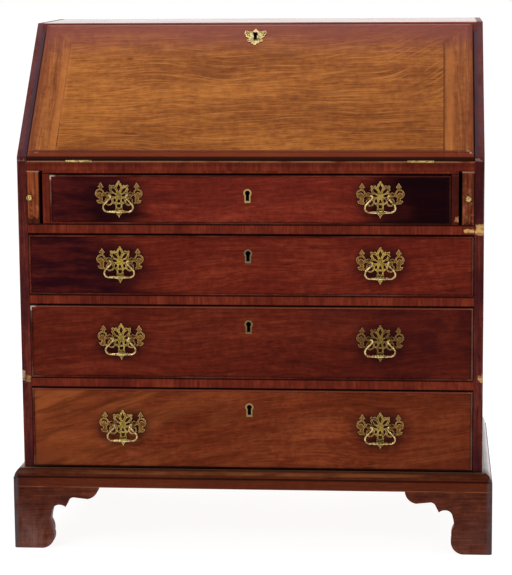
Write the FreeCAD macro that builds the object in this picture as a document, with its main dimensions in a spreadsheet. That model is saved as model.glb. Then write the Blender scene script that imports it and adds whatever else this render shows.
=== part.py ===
# A fall-front bureau in mahogany: a sloping fall over four graduated drawers on bracket feet.
# X runs to the right, Y to the back and Z up, in millimetres.
# The origin is on the floor under the middle of the whole piece.
import FreeCAD, Part
import math
import os
import re
import Sketcher

# Every size that can be set by itself: its name, its value and what it measures
SIZES = [
    ("case_width", 914, "carcase, outside width"),
    ("case_depth", 500, "carcase, front to back"),
    ("side_thick", 19, "carcase side"),
    ("top_thick", 19, "top board"),
    ("bed_thick", 19, "writing bed"),
    ("bottom_thick", 19, "bottom board"),
    ("back_thick", 12, "back boards"),
    ("back_rebate", 8, "back boards let into the sides"),
    ("back_gap", 0.8, "shrinkage gap between back boards"),
    ("housing_depth", 7, "depth of the housings in the sides"),
    ("housing_stop", 8, "housings stop this far behind the front"),
    ("rail_thick", 20, "rails between drawers"),
    ("rail_depth", 60, "rails, front to back"),
    ("lintel_thick", 6, "thin rail over the top drawer"),
    ("dust_thick", 9, "dustboards"),
    ("opening_1", 99, "top drawer opening, height"),
    ("opening_2", 121, "second drawer opening, height"),
    ("opening_3", 147, "third drawer opening, height"),
    ("opening_4", 163, "bottom drawer opening, height"),
    ("slope_step", 8, "rise from the bed to where the sides start to slope"),
    ("slope_run", 245, "slope of the sides, front to back"),
    ("slope_rise", 252, "slope of the sides, height"),
    ("foot_height", 126, "bracket feet"),
    ("bracket_length", 172, "each bracket along the base"),
    ("bracket_floor", 58, "each bracket along the floor"),
    ("bracket_splay", 120, "plain rear bracket along the base"),
    ("toe_out", 22, "bracket outline: swell of the toe, past the floor"),
    ("toe_rise", 34, "swell of the toe, above the floor"),
    ("toe_radius", 26, "underside of the toe"),
    ("heel_radius", 34, "back of the toe"),
    ("waist_out", 17, "waist over the toe, past the floor"),
    ("waist_rise", 58, "waist, above the floor"),
    ("neck_radius", 70, "neck over the waist"),
    ("neck_out", 20, "top of the neck, past the floor"),
    ("neck_drop", 49, "top of the neck, below the base"),
    ("cove_radius", 14, "hollow over the neck"),
    ("cove_out", 34, "top of the hollow, past the floor"),
    ("cove_drop", 36.5, "top of the hollow, below the base"),
    ("nib_radius", 18, "hollow behind the nib"),
    ("nib_out", 47, "hanging nib, past the floor"),
    ("nib_drop", 41, "hanging nib, below the base"),
    ("lobe_start", 55, "lobe beside the nib, past the floor"),
    ("lobe_start_drop", 25, "start of the lobe, below the base"),
    ("lobe_radius", 13, "lobe"),
    ("lobe_out", 68, "end of the lobe, past the floor"),
    ("lobe_drop", 21.5, "end of the lobe, below the base"),
    ("tip_out", 92, "start of the tip, past the floor"),
    ("tip_drop", 24, "start of the tip, below the base"),
    ("tip_radius", 26, "tip"),
    ("block_size", 36, "square foot blocks"),
    ("block_lift", 3, "foot blocks clear of the floor"),
    ("base_height", 37, "base moulding"),
    ("base_proj", 20, "base moulding, projection"),
    ("base_ledge", 6, "flat top of the base moulding"),
    ("corner_round", 6.5, "worn round of the front corners of the base"),
    ("fascia_height", 18, "plain lower band of the base moulding"),
    ("fascia_step", 2, "step between that band and the quarter round"),
    ("fall_thick", 17.5, "fall"),
    ("fall_gap", 1.5, "fall to each side"),
    ("hinge_gap", 0.5, "fall's lower edge to the hinge axis"),
    ("seat_gap", 0.3, "fall to the edge of the top board"),
    ("lip_drop", 7.3, "fall's lip ends this far under the top"),
    ("clamp_width", 58, "end clamps of the fall"),
    ("tongue_length", 10, "tongues of the panel in the clamps"),
    ("tongue_thick", 6, "tongues, thickness"),
    ("thumb_radius", 10, "round of the thumb moulding on the fall"),
    ("thumb_quirk", 1.5, "step at the inner edge of that moulding"),
    ("hinge_length", 51, "fall hinges"),
    ("hinge_offset", 334, "fall hinges, from the middle"),
    ("leaf_width", 24, "hinge leaves"),
    ("leaf_thick", 2, "hinge leaves, thickness"),
    ("knuckle_radius", 2.8, "hinge knuckles"),
    ("knuckle_gap", 0.3, "clearance round and between knuckles"),
    ("pin_radius", 1.2, "hinge pins"),
    ("run_gap", 0.05, "running clearance of pins"),
    ("loper_space", 30.5, "room for a loper beside each side"),
    ("loper_thick", 24, "lopers"),
    ("loper_gap", 0.3, "clearance round a loper"),
    ("loper_rear_gap", 51, "lopers to the back boards"),
    ("loper_proud", 3, "lopers stand out of the front"),
    ("loper_face", 16, "mahogany facing on a loper"),
    ("partition_thick", 14, "boards between lopers and top drawer"),
    ("knob_radius", 6.5, "loper knobs"),
    ("knob_reach", 10, "loper knobs, face to the middle of the ball"),
    ("knob_neck", 2.6, "loper knobs, radius of the neck"),
    ("knob_shank", 14, "screw of a knob in the facing"),
    ("left_knob_shift", -5, "left knob, from the middle of its loper"),
    ("front_thick", 20, "drawer fronts"),
    ("drawer_gap", 1, "drawer to each side of its opening"),
    ("drawer_top_gap", 2.5, "drawer to the rail above"),
    ("drawer_lift", 0.5, "drawer clear of what it runs on"),
    ("drawer_rear_gap", 18, "drawer to the back boards"),
    ("drawer_wall", 10, "drawer sides and backs"),
    ("drawer_drop", 4, "drawer sides lower than the front"),
    ("drawer_floor", 7, "drawer bottoms"),
    ("floor_rise", 8, "drawer bottom above the lower edge of the sides"),
    ("groove_depth", 4, "grooves for the drawer bottoms"),
    ("tail_lap", 7, "wood left in front of the dovetails"),
    ("tail_flare", 3, "dovetails wider at the tip, each side"),
    ("pin_width", 9, "wood between dovetails at their base"),
    ("bead_thick", 3.2, "cock beads"),
    ("bead_proud", 2.4, "cock beads, projection"),
    ("bead_depth", 6, "cock beads, let in"),
    ("stop_width", 40, "drawer stops"),
    ("stop_depth", 14, "drawer stops, front to back"),
    ("stop_height", 5, "drawer stops, height"),
    ("lock_offset", -3, "locks, from the middle"),
    ("lock_width", 60, "lock cases"),
    ("lock_height", 44, "lock cases, height"),
    ("lock_depth", 12, "lock cases, let in"),
    ("bolt_width", 20, "lock bolts"),
    ("bolt_thick", 3, "lock bolts, thickness"),
    ("bolt_length", 28, "lock bolts, length"),
    ("bolt_cover", 1.2, "lock plate over the bolt"),
    ("bolt_gap", 0.2, "clearance round a bolt"),
    ("bolt_reach", 10, "depth of the mortise for a bolt"),
    ("key_drop", 35, "keyholes below the top of a drawer"),
    ("key_radius", 3.2, "keyholes"),
    ("key_slot", 3.8, "keyholes, width of the slot"),
    ("key_length", 14, "keyholes, length of the slot"),
    ("thread_radius", 8, "keyhole threads"),
    ("thread_skirt", 11.6, "keyhole threads, width of the lower part"),
    ("thread_length", 19, "keyhole threads, length of the lower part"),
    ("thread_thick", 3, "keyhole threads, let in"),
    ("thread_proud", 0.4, "keyhole threads, projection"),
    ("fall_key_drop", 34, "keyhole below the upper edge of the fall"),
    ("fall_plate_thick", 1.5, "escutcheon of the fall"),
    ("handle_offset", 256, "handles, from the middle"),
    ("plate_raise", 6, "middle of a plate above the middle of its drawer"),
    ("plate_thick", 2, "pierced plates"),
    ("post_span", 46, "posts of a bail, apart"),
    ("post_raise", 4, "posts above the middle of the plate"),
    ("post_radius", 2.4, "posts"),
    ("post_reach", 13, "posts, drawer to the bail"),
    ("post_head", 4, "ball heads of the posts"),
    ("post_collar", 4.1, "collars of the posts, radius"),
    ("post_collar_thick", 1.2, "collars of the posts, thickness"),
    ("post_taper", 1.4, "taper from the collar to the stem"),
    ("post_stem", 2.75, "stems of the posts, radius"),
    ("post_tail", 7, "posts behind the drawer front"),
    ("post_gap", 0.1, "clearance of a post in its holes"),
    ("nut_size", 10, "square nuts"),
    ("nut_thick", 4, "square nuts, thickness"),
    ("bail_width", 59, "bails, middle of rod to middle of rod"),
    ("bail_rod", 2, "bails, radius of the rod"),
    ("bail_swell", 3.2, "bails, radius at the middle of the grip"),
    ("bail_corner", 9, "bails, radius of the lower bends"),
    ("bail_neck", 3.5, "bails, radius of the upper bends"),
    ("bail_lean", 46, "bails, slope of the necks in degrees"),
    ("bail_gap", 0.6, "bail clear of the post heads"),
    ("fitting_setback", 250, "front of the pigeonholes behind the case front"),
    ("shelf_rise", 62, "shelf over the small drawers"),
    ("shelf_thick", 8, "shelf"),
    ("divider_thick", 6, "dividers"),
    ("apron_height", 28, "arched aprons"),
    ("apron_thick", 6, "arched aprons, thickness"),
    ("apron_toe", 7, "flat ends of an apron"),
    ("apron_arch", 17, "rise of an apron's arch"),
    ("small_gap", 0.8, "small drawers in their openings"),
    ("small_front", 12, "small drawers, front"),
    ("small_wall", 6, "small drawers, sides, back and bottom"),
    ("small_rear_gap", 38, "small drawers to the back boards"),
    ("small_knob", 5, "turned knobs, radius"),
]

doc = FreeCAD.newDocument("fall_front_bureau")
sheet = doc.addObject("Spreadsheet::Sheet", "sizes")
for row, (alias, value, meaning) in enumerate(SIZES, start=1):
    sheet.set(f"A{row}", meaning)
    sheet.set(f"B{row}", str(value))
    sheet.setAlias(f"B{row}", alias)
doc.recompute()

ALIAS = re.compile(r"\b(" + "|".join(alias for alias, _, _ in SIZES) + r")\b")
X_AXIS = FreeCAD.Vector(1, 0, 0)
Y_AXIS = FreeCAD.Vector(0, 1, 0)
nodes = []


def bound(text):
    """The expression with every size taken from the sheet."""
    return ALIAS.sub(r"sizes.\1", text)


def number(text):
    """What an expression comes to now."""
    return float(sheet.evalExpression(bound(text)))


def bind(thing, **paths):
    """Ties properties to expressions; a double underscore stands for a dot."""
    for path, text in paths.items():
        thing.setExpression(path.replace("__", "."), bound(text))
    return thing


def place(thing, x="0", y="0", z="0"):
    """Ties where a thing stands to expressions."""
    return bind(thing, Placement__Base__x=x, Placement__Base__y=y, Placement__Base__z=z)


def node(thing, label):
    """Marks a finished piece, or group of like pieces, as one to hand over."""
    thing.Label = label
    nodes.append(thing)
    return thing


def board(name, low, span):
    """A straight board from its lowest corner and its three sizes."""
    box = doc.addObject("Part::Box", name)
    bind(box, Length=span[0], Width=span[1], Height=span[2])
    return place(box, *low)


def rod(name, start, along, radius, length):
    """A round bar from the middle of one end, along X, Y or Z."""
    bar = doc.addObject("Part::Cylinder", name)
    turn = {"X": (Y_AXIS, 90), "Y": (X_AXIS, -90), "Z": (X_AXIS, 0)}[along]
    bar.Placement.Rotation = FreeCAD.Rotation(*turn)
    bind(bar, Radius=radius, Height=length)
    return place(bar, *start)


def joined(name, *pieces):
    """One solid made of several shapes."""
    whole = doc.addObject("Part::MultiFuse", name)
    whole.Shapes = list(pieces)
    return whole


def cut(name, base, *tools):
    """The base with the tools taken away."""
    left = doc.addObject("Part::Cut", name)
    left.Base = base
    left.Tool = tools[0] if len(tools) == 1 else joined(f"{name}_cutters", *tools)
    return left


def group(name, *pieces):
    """Separate solids kept together."""
    together = doc.addObject("Part::Compound", name)
    together.Links = list(pieces)
    return together


def mirrored(name, source, normal=X_AXIS, **base):
    """The mirror image across a plane, through the origin unless base moves it."""
    image = doc.addObject("Part::Mirroring", name)
    image.Source = source
    image.Normal = normal
    return bind(image, **base)


def copy_of(name, source, x="0", y="0", z="0"):
    """The same piece again, standing elsewhere."""
    again = doc.addObject("App::Link", name)
    again.LinkedObject = source
    return place(again, x, y, z)


def new_body(name):
    return doc.addObject("PartDesign::Body", name)


def sketch_on(body, name, role):
    """An empty sketch on one of the body's own planes."""
    sketch = body.newObject("Sketcher::SketchObject", name)
    plane = next(f for f in body.Origin.OriginFeatures if f.Role == role)
    sketch.AttachmentSupport = [(plane, "")]
    sketch.MapMode = "FlatFace"
    return sketch


def arc_between(start, end, radius, side):
    """The shorter arc from start to end, with its centre to the left if side is 1, to the right if -1."""
    chord = end - start
    half = chord.Length / 2
    left = FreeCAD.Vector(-chord.y, chord.x, 0).normalize()
    centre = (start + end) / 2 + left * side * max(radius**2 - half**2, 0) ** 0.5
    first, last = (start, end) if side > 0 else (end, start)
    angles = [math.atan2(point.y - centre.y, point.x - centre.x) for point in (first, last)]
    return Part.ArcOfCircle(Part.Circle(centre, FreeCAD.Vector(0, 0, 1), radius), *angles)


def draw(sketch, corners, closed=True):
    """Lines and arcs through corners (x, y) or (x, y, radius, side); the last two bend the way to the next."""
    points = [FreeCAD.Vector(number(c[0]), number(c[1]), 0) for c in corners]
    count = len(corners) if closed else len(corners) - 1
    ends = []
    for i in range(count):
        start = points[i]
        end = points[(i + 1) % len(points)]
        bend = corners[i][2:]
        if bend:
            edge = sketch.addGeometry(arc_between(start, end, number(bend[0]), bend[1]))
            radius = sketch.addConstraint(Sketcher.Constraint("Radius", edge, number(bend[0])))
            sketch.setExpression(f"Constraints[{radius}]", bound(bend[0]))
        else:
            edge = sketch.addGeometry(Part.LineSegment(start, end))
        forward = sketch.Geometry[edge].StartPoint.distanceToPoint(start) < 1e-6
        ends.append((edge, 1, 2) if forward else (edge, 2, 1))
    for i in range(count if closed else count - 1):
        this, following = ends[i], ends[(i + 1) % count]
        sketch.addConstraint(Sketcher.Constraint("Coincident", this[0], this[2], following[0], following[1]))
    for i, corner in enumerate(corners):
        edge, vertex = ends[i][:2] if i < count else (ends[-1][0], ends[-1][2])
        for kind, text in zip(("DistanceX", "DistanceY"), corner):
            datum = sketch.addConstraint(Sketcher.Constraint(kind, -1, 1, edge, vertex, number(text)))
            sketch.setExpression(f"Constraints[{datum}]", bound(text))
    return sketch


def profile(name, role, corners, depth):
    """A body padded from one closed outline: XY grows to +Z, XZ to -Y and YZ to +X."""
    body = new_body(name)
    sketch = draw(sketch_on(body, f"{name}_outline", role), corners)
    pad = body.newObject("PartDesign::Pad", f"{name}_pad")
    pad.Profile = sketch
    bind(pad, Length=depth)
    return body


def turned(name, corners):
    """A body turned about Y from an outline in X, the radius, and Y."""
    body = new_body(name)
    sketch = draw(sketch_on(body, f"{name}_outline", "XY_Plane"), corners)
    turn = body.newObject("PartDesign::Revolution", f"{name}_turn")
    turn.Profile = sketch
    turn.ReferenceAxis = (sketch, ["V_Axis"])
    turn.Angle = 360
    return body


# Levels and planes that several pieces share
FRONT = "((base_proj - case_depth) / 2)"
BACK = "((base_proj + case_depth) / 2)"
REAR = f"({BACK} - back_thick)"
INSIDE = "(case_width / 2 - side_thick)"
FLOOR = {4: "(foot_height + base_height)"}
CEILING = {}
for drawer in (4, 3, 2, 1):
    CEILING[drawer] = f"({FLOOR[drawer]} + opening_{drawer})"
    FLOOR[drawer - 1] = f"({CEILING[drawer]} + rail_thick)"
CARCASE_LOW = f"({FLOOR[4]} - bottom_thick)"
BED_LOW = f"({CEILING[1]} + lintel_thick)"
BED = f"({BED_LOW} + bed_thick)"
SLOPE_LOW = f"({BED} + slope_step)"
TOP = f"({SLOPE_LOW} + slope_rise)"
TOP_LOW = f"({TOP} - top_thick)"
SLOPE = "sqrt(slope_run^2 + slope_rise^2)"
COSINE = f"(slope_run / {SLOPE})"
SINE = f"(slope_rise / {SLOPE})"
HALF_1 = f"({INSIDE} - loper_space - partition_thick)"
HALF = {1: HALF_1, 2: INSIDE, 3: INSIDE, 4: INSIDE}
DRAWERS = (1, 2, 3, 4)


# The fall is drawn lying flat: X across, Y up its slope from the hinge axis, Z out of its inner face
FALL_WIDTH = "(case_width - 2 * side_thick - 2 * fall_gap)"
FALL_TOP = f"(slope_step * {SINE} + (slope_rise - lip_drop) / {SINE})"
REBATE = f"(slope_step * {SINE} + (slope_rise - top_thick) / {SINE} - 1)"
REBATE_DEPTH = f"(slope_step * {COSINE} + seat_gap)"
FALL_KEY = f"({FALL_TOP} - fall_key_drop)"


def on_slope(thing):
    """Lays a piece drawn flat onto the slope, about the hinge axis."""
    thing.Placement.Rotation = FreeCAD.Rotation(X_AXIS, 1)
    place(thing, "0", FRONT, BED)
    return bind(thing, Placement__Rotation__Angle="atan(slope_rise / slope_run)")


# The sides: one wide board each, housed for every board between them and rebated for the back
side_blank = profile(
    "side_blank",
    "YZ_Plane",
    [
        (FRONT, CARCASE_LOW),
        (BACK, CARCASE_LOW),
        (BACK, TOP),
        (f"{FRONT} + slope_run", TOP),
        (FRONT, SLOPE_LOW),
    ],
    "side_thick",
)
place(side_blank, "-case_width / 2")


def housing(name, y, z, depth, height):
    """A housing cut into the inner face of the left side."""
    low = (f"-{INSIDE} - housing_depth", y, z)
    return board(name, low, ("2 * housing_depth", depth, height))


STOPPED = f"({FRONT} + housing_stop)"
BEHIND_RAILS = f"({FRONT} + rail_depth)"
side_housings = [
    housing("housing_bottom", STOPPED, f"{CARCASE_LOW} - 1", f"{REAR} - {STOPPED}", "bottom_thick + 1"),
    housing("housing_bed", STOPPED, BED_LOW, f"{REAR} - {STOPPED}", "bed_thick"),
    housing("housing_top", FRONT, TOP_LOW, "case_depth + 1", "top_thick + 1"),
]
for drawer in (2, 3, 4):
    rail_low = CEILING[drawer]
    dust_low = f"{rail_low} + rail_thick - dust_thick"
    reach = f"{BEHIND_RAILS} - {STOPPED}"
    side_housings.append(housing(f"housing_rail_{drawer}", STOPPED, rail_low, reach, "rail_thick"))
    reach = f"{REAR} - {BEHIND_RAILS}"
    side_housings.append(housing(f"housing_dust_{drawer}", BEHIND_RAILS, dust_low, reach, "dust_thick"))
side_housings.append(
    board(
        "rebate_back",
        (f"-{INSIDE} - back_rebate", REAR, f"{CARCASE_LOW} - 1"),
        ("back_rebate + 1", "back_thick + 1", f"{TOP_LOW} - {CARCASE_LOW} + 1"),
    )
)
side_left = node(cut("side_left", side_blank, *side_housings), "side_left")
node(mirrored("side_right", side_left), "side_right")


# Mortises for the lock bolts: one over each drawer, in the rail or boards above
BOLT_BACK = f"({FRONT} + front_thick - bolt_cover)"
bolt_mortises = {}
for drawer in DRAWERS:
    bolt_mortises[drawer] = board(
        f"bolt_mortise_{drawer}",
        (
            "lock_offset - bolt_width / 2 - 2 * bolt_gap",
            f"{BOLT_BACK} - bolt_thick - 2 * bolt_gap",
            f"{CEILING[drawer]} - 1",
        ),
        ("bolt_width + 4 * bolt_gap", "bolt_thick + 4 * bolt_gap", "bolt_reach + 1"),
    )


def between_sides(name, z, depth, height):
    """A board across the carcase, flush at the front, with its ends in stopped housings."""
    middle = board(f"{name}_middle", (f"-{INSIDE}", FRONT, z), (f"2 * {INSIDE}", depth, height))
    low = (f"-{INSIDE} - housing_depth", STOPPED, z)
    ends = board(f"{name}_ends", low, (f"2 * {INSIDE} + 2 * housing_depth", f"{depth} - housing_stop", height))
    return joined(f"{name}_blank", middle, ends)


# The bottom board and the writing bed, which carries the fall's hinges
node(between_sides("bottom", CARCASE_LOW, f"({REAR} - {FRONT})", "bottom_thick"), "bottom_board")
bed_blank = between_sides("bed", BED_LOW, f"({REAR} - {FRONT})", "bed_thick")
KNUCKLE_ROOM = "(knuckle_radius + knuckle_gap)"
HINGES = {"left": "(-hinge_offset - hinge_length / 2)", "right": "(hinge_offset - hinge_length / 2)"}
bed_cuts = [bolt_mortises[1]]
for hand, x in HINGES.items():
    low = (x, FRONT, f"{BED} - leaf_thick")
    bed_cuts.append(board(f"bed_recess_{hand}", low, ("hinge_length", "leaf_width", "leaf_thick + 1")))
    bed_cuts.append(rod(f"bed_notch_{hand}", (x, FRONT, BED), "X", KNUCKLE_ROOM, "hinge_length"))
node(cut("writing_bed", bed_blank, *bed_cuts), "writing_bed")

# The rails between the drawers, and the thin one over the top drawer
rails = []
for drawer in (2, 3, 4):
    rail = between_sides(f"rail_{drawer}", CEILING[drawer], "rail_depth", "rail_thick")
    rails.append(cut(f"rail_{drawer}", rail, bolt_mortises[drawer]))
lintel_low = (f"-{HALF[1]}", FRONT, CEILING[1])
lintel = board("lintel_blank", lintel_low, (f"2 * {HALF[1]}", "rail_depth", "lintel_thick"))
rails.append(cut("lintel", lintel, bolt_mortises[1]))
node(group("drawer_rails", *rails), "drawer_rails")

# The dustboards, level with the rails, on which the drawers run
dustboards = []
for drawer in (2, 3, 4):
    low = (f"-{INSIDE} - housing_depth", BEHIND_RAILS, f"{CEILING[drawer]} + rail_thick - dust_thick")
    span = (f"2 * {INSIDE} + 2 * housing_depth", f"{REAR} - {BEHIND_RAILS}", "dust_thick")
    dustboards.append(board(f"dustboard_{drawer}", low, span))
node(group("dustboards", *dustboards), "dustboards")

# The upright boards that part the lopers from the top drawer and guide both
partition = board(
    "partition_left",
    (f"-{HALF[1]} - partition_thick", FRONT, FLOOR[1]),
    ("partition_thick", f"{REAR} - {FRONT}", f"{BED_LOW} - {FLOOR[1]}"),
)
node(group("loper_partitions", partition, mirrored("partition_right", partition)), "loper_partitions")

# Two stops behind each drawer front
stops = []
for drawer in DRAWERS:
    low = (f"-{HALF[drawer]} / 2 - stop_width / 2", f"{FRONT} + front_thick + drawer_gap", FLOOR[drawer])
    stop = board(f"stop_{drawer}_left", low, ("stop_width", "stop_depth", "stop_height"))
    stops += [stop, mirrored(f"stop_{drawer}_right", stop)]
node(group("drawer_stops", *stops), "drawer_stops")

# The back: upright boards in the rebates of the sides
BACK_BOARDS = 5
BACK_WIDTH = f"(2 * {INSIDE} + 2 * back_rebate)"
back_boards = []
for i in range(BACK_BOARDS):
    low = (f"-{BACK_WIDTH} / 2 + {i} * {BACK_WIDTH} / {BACK_BOARDS} + back_gap / 2", REAR, CARCASE_LOW)
    span = (f"{BACK_WIDTH} / {BACK_BOARDS} - back_gap", "back_thick", f"{TOP_LOW} - {CARCASE_LOW}")
    back_boards.append(board(f"back_board_{i + 1}", low, span))
node(group("back_boards", *back_boards), "back_boards")

# The top board, bevelled in front to the slope of the sides, with a mortise for the fall's bolt
top_blank = profile(
    "top_blank",
    "YZ_Plane",
    [
        (f"{FRONT} + slope_run * (slope_rise - top_thick) / slope_rise", TOP_LOW),
        (BACK, TOP_LOW),
        (BACK, TOP),
        (f"{FRONT} + slope_run", TOP),
    ],
    f"2 * {INSIDE} + 2 * housing_depth",
)
place(top_blank, f"-{INSIDE} - housing_depth")
fall_strike = board(
    "fall_strike",
    ("lock_offset - bolt_width / 2 - 2 * bolt_gap", REBATE, "bolt_cover - 2 * bolt_gap"),
    ("bolt_width + 4 * bolt_gap", "bolt_reach + 1", "bolt_thick + 4 * bolt_gap"),
)
strike_mortise = on_slope(group("strike_mortise", fall_strike))
node(cut("top_board", top_blank, strike_mortise), "top_board")


# Planes at 45 degrees through the front corners, for the mitres of the base
MITRE = 300


def mitre_cutter(name, angle, along):
    """A block with one face on the left front mitre."""
    block = doc.addObject("Part::Box", name)
    block.Length = 2 * MITRE
    block.Width = MITRE
    block.Height = MITRE
    block.Placement.Rotation = FreeCAD.Rotation(FreeCAD.Vector(0, 0, 1), angle)
    shift = f"{along * MITRE} * sqrt(0.5)"
    return place(block, f"-case_width / 2 + {shift}", f"{FRONT} + {shift}", "-1")


off_front = mitre_cutter("off_front", 45, -1)
off_side = mitre_cutter("off_side", 225, 1)

# What wear has taken off the front corners of the base, up to the top of its plain band
FASCIA_TOP = "(foot_height + fascia_height)"
OUTER = "(-case_width / 2 - base_proj)"
FOREMOST = f"({FRONT} - base_proj)"
corner_size = ("corner_round", "corner_round", f"{FASCIA_TOP} + 1")
corner_block = board("corner_block", (OUTER, FOREMOST, "-1"), corner_size)
corner_core = rod(
    "corner_core",
    (f"{OUTER} + corner_round", f"{FOREMOST} + corner_round", "-2"),
    "Z",
    "corner_round",
    f"{FASCIA_TOP} + 4",
)
off_corner = cut("off_corner", corner_block, corner_core)

# The base moulding: a quarter round over a plain band, in three mitred lengths
BASE_TOP = "(foot_height + base_height)"
ROUND_OUT = "(base_proj - fascia_step - base_ledge)"
ROUND_UP = "(base_height - fascia_height)"
ROUND = f"(({ROUND_OUT}^2 + {ROUND_UP}^2) / (2 * {ROUND_OUT}) * 1.02)"


def base_outline(sign):
    """The section of the moulding, from the carcase outwards."""
    side = -sign
    return [
        ("0", "foot_height"),
        (f"{sign} * base_proj", "foot_height"),
        (f"{sign} * base_proj", FASCIA_TOP),
        (f"{sign} * (base_proj - fascia_step)", FASCIA_TOP, ROUND, -side),
        (f"{sign} * base_ledge", BASE_TOP),
        ("0", BASE_TOP),
    ]


base_front = profile("base_front_blank", "YZ_Plane", base_outline(-1), "case_width + 2 * base_proj")
place(base_front, "-case_width / 2 - base_proj", FRONT)
base_side = profile("base_side_blank", "XZ_Plane", base_outline(-1), "case_depth + base_proj")
place(base_side, "-case_width / 2", BACK)
front_ends = group("front_ends", off_front, off_corner)
base_front = cut("base_front", base_front, front_ends, mirrored("front_ends_right", front_ends))
base_side = cut("base_side_left", base_side, off_side, off_corner)
node(group("base_moulding", base_front, base_side, mirrored("base_side_right", base_side)), "base_moulding")

# The bracket feet: a scrolled outline, the same on each face, mitred at the front corners
BRACKET = [
    ("0", "0"),
    ("bracket_floor", "0", "toe_radius", 1),
    ("bracket_floor + toe_out", "toe_rise", "heel_radius", 1),
    ("bracket_floor + waist_out", "waist_rise", "neck_radius", -1),
    ("bracket_floor + neck_out", "foot_height - neck_drop", "cove_radius", -1),
    ("bracket_floor + cove_out", "foot_height - cove_drop", "nib_radius", -1),
    ("bracket_floor + nib_out", "foot_height - nib_drop"),
    ("bracket_floor + lobe_start", "foot_height - lobe_start_drop", "lobe_radius", -1),
    ("bracket_floor + lobe_out", "foot_height - lobe_drop"),
    ("bracket_floor + tip_out", "foot_height - tip_drop", "tip_radius", 1),
    ("bracket_length", "foot_height"),
    ("0", "foot_height"),
]
front_bracket = profile("front_bracket_blank", "XZ_Plane", BRACKET, "base_proj")
place(front_bracket, OUTER, FRONT)
side_bracket = profile("side_bracket_blank", "YZ_Plane", BRACKET, "base_proj")
place(side_bracket, OUTER, FOREMOST)
rear_side_bracket = mirrored("rear_side_bracket", side_bracket, Y_AXIS, Base__y=f"({FOREMOST} + {BACK}) / 2")
rear_bracket = profile(
    "rear_bracket",
    "XZ_Plane",
    [("0", "0"), ("bracket_floor", "0"), ("bracket_splay", "foot_height"), ("0", "foot_height")],
    "base_proj",
)
place(rear_bracket, "-case_width / 2", BACK)


def foot_block(name, y):
    """A square block glued into the corner behind the brackets."""
    low = ("-case_width / 2", y, "block_lift")
    return board(name, low, ("block_size", "block_size", f"{CARCASE_LOW} - block_lift"))


front_foot = group(
    "foot_front_left",
    cut("front_bracket", front_bracket, off_front, off_corner),
    cut("side_bracket", side_bracket, off_side, off_corner),
    foot_block("front_block", FRONT),
)
rear_foot = group(
    "foot_rear_left",
    rear_side_bracket,
    rear_bracket,
    foot_block("rear_block", f"{BACK} - base_proj - block_size"),
)
node(group("front_feet", front_foot, mirrored("foot_front_right", front_foot)), "front_feet")
node(group("rear_feet", rear_foot, mirrored("foot_rear_right", rear_foot)), "rear_feet")


# The hinges of the fall: five knuckles on a pin, three on the bed's leaf and two on the fall's
KNUCKLES = 5
KNUCKLE = f"(hinge_length / {KNUCKLES})"
LEAF_EDGE = "(knuckle_radius + 2 * knuckle_gap)"


def leaf(name, x, own):
    """A hinge leaf lying flat, its knuckle axis along X at the origin and its top face level with the axis."""
    flat = ("hinge_length", f"leaf_width - {LEAF_EDGE}", "leaf_thick")
    pieces = [board(f"{name}_plate", (x, LEAF_EDGE, "-leaf_thick"), flat)]
    for i in own:
        start = f"{x} + {i} * {KNUCKLE} + knuckle_gap / 2"
        length = f"{KNUCKLE} - knuckle_gap"
        tab = (length, f"{LEAF_EDGE} + 1", "leaf_thick")
        pieces.append(board(f"{name}_tab_{i}", (start, "0", "-leaf_thick"), tab))
        pieces.append(rod(f"{name}_knuckle_{i}", (start, "0", "0"), "X", "knuckle_radius", length))
    hole = rod(f"{name}_hole", (f"{x} - 1", "0", "0"), "X", "pin_radius + run_gap", "hinge_length + 2")
    return cut(f"{name}_leaf", joined(f"{name}_blank", *pieces), hole)


bed_leaves = []
fall_leaves = []
for hand, x in HINGES.items():
    bed_leaves.append(place(leaf(f"bed_{hand}", x, (0, 2, 4)), "0", FRONT, BED))
    bed_leaves.append(rod(f"hinge_pin_{hand}", (x, FRONT, BED), "X", "pin_radius", "hinge_length"))
    turned_over = leaf(f"fall_{hand}", x, (1, 3))
    fall_leaves.append(mirrored(f"fall_{hand}_up", turned_over, FreeCAD.Vector(0, 0, 1)))
node(group("bed_hinge_leaves", *bed_leaves), "bed_hinge_leaves")
node(on_slope(group("fall_hinge_leaves", *fall_leaves)), "fall_hinge_leaves")

# The fall: a panel tongued into two end clamps that are mitred at the upper corners
panel_blank = profile(
    "panel_blank",
    "XY_Plane",
    [
        ("clamp_width", "hinge_gap"),
        (f"{FALL_WIDTH} - clamp_width", "hinge_gap"),
        (f"{FALL_WIDTH} - clamp_width", f"{FALL_TOP} - clamp_width"),
        (FALL_WIDTH, FALL_TOP),
        ("0", FALL_TOP),
        ("clamp_width", f"{FALL_TOP} - clamp_width"),
    ],
    "fall_thick",
)
clamp_blank = profile(
    "clamp_blank",
    "XY_Plane",
    [
        ("0", "hinge_gap"),
        ("clamp_width", "hinge_gap"),
        ("clamp_width", f"{FALL_TOP} - clamp_width"),
        ("0", FALL_TOP),
    ],
    "fall_thick",
)
FALL_EDGE = f"(-{FALL_WIDTH} / 2)"
place(panel_blank, FALL_EDGE)
place(clamp_blank, FALL_EDGE)
TONGUE_LOW = "(fall_thick - tongue_thick) / 2"
tongue = board(
    "tongue_left",
    (f"{FALL_EDGE} + clamp_width - tongue_length", "hinge_gap + 2 * tongue_length", TONGUE_LOW),
    ("tongue_length", f"{FALL_TOP} - clamp_width - hinge_gap - 4 * tongue_length", "tongue_thick"),
)

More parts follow.
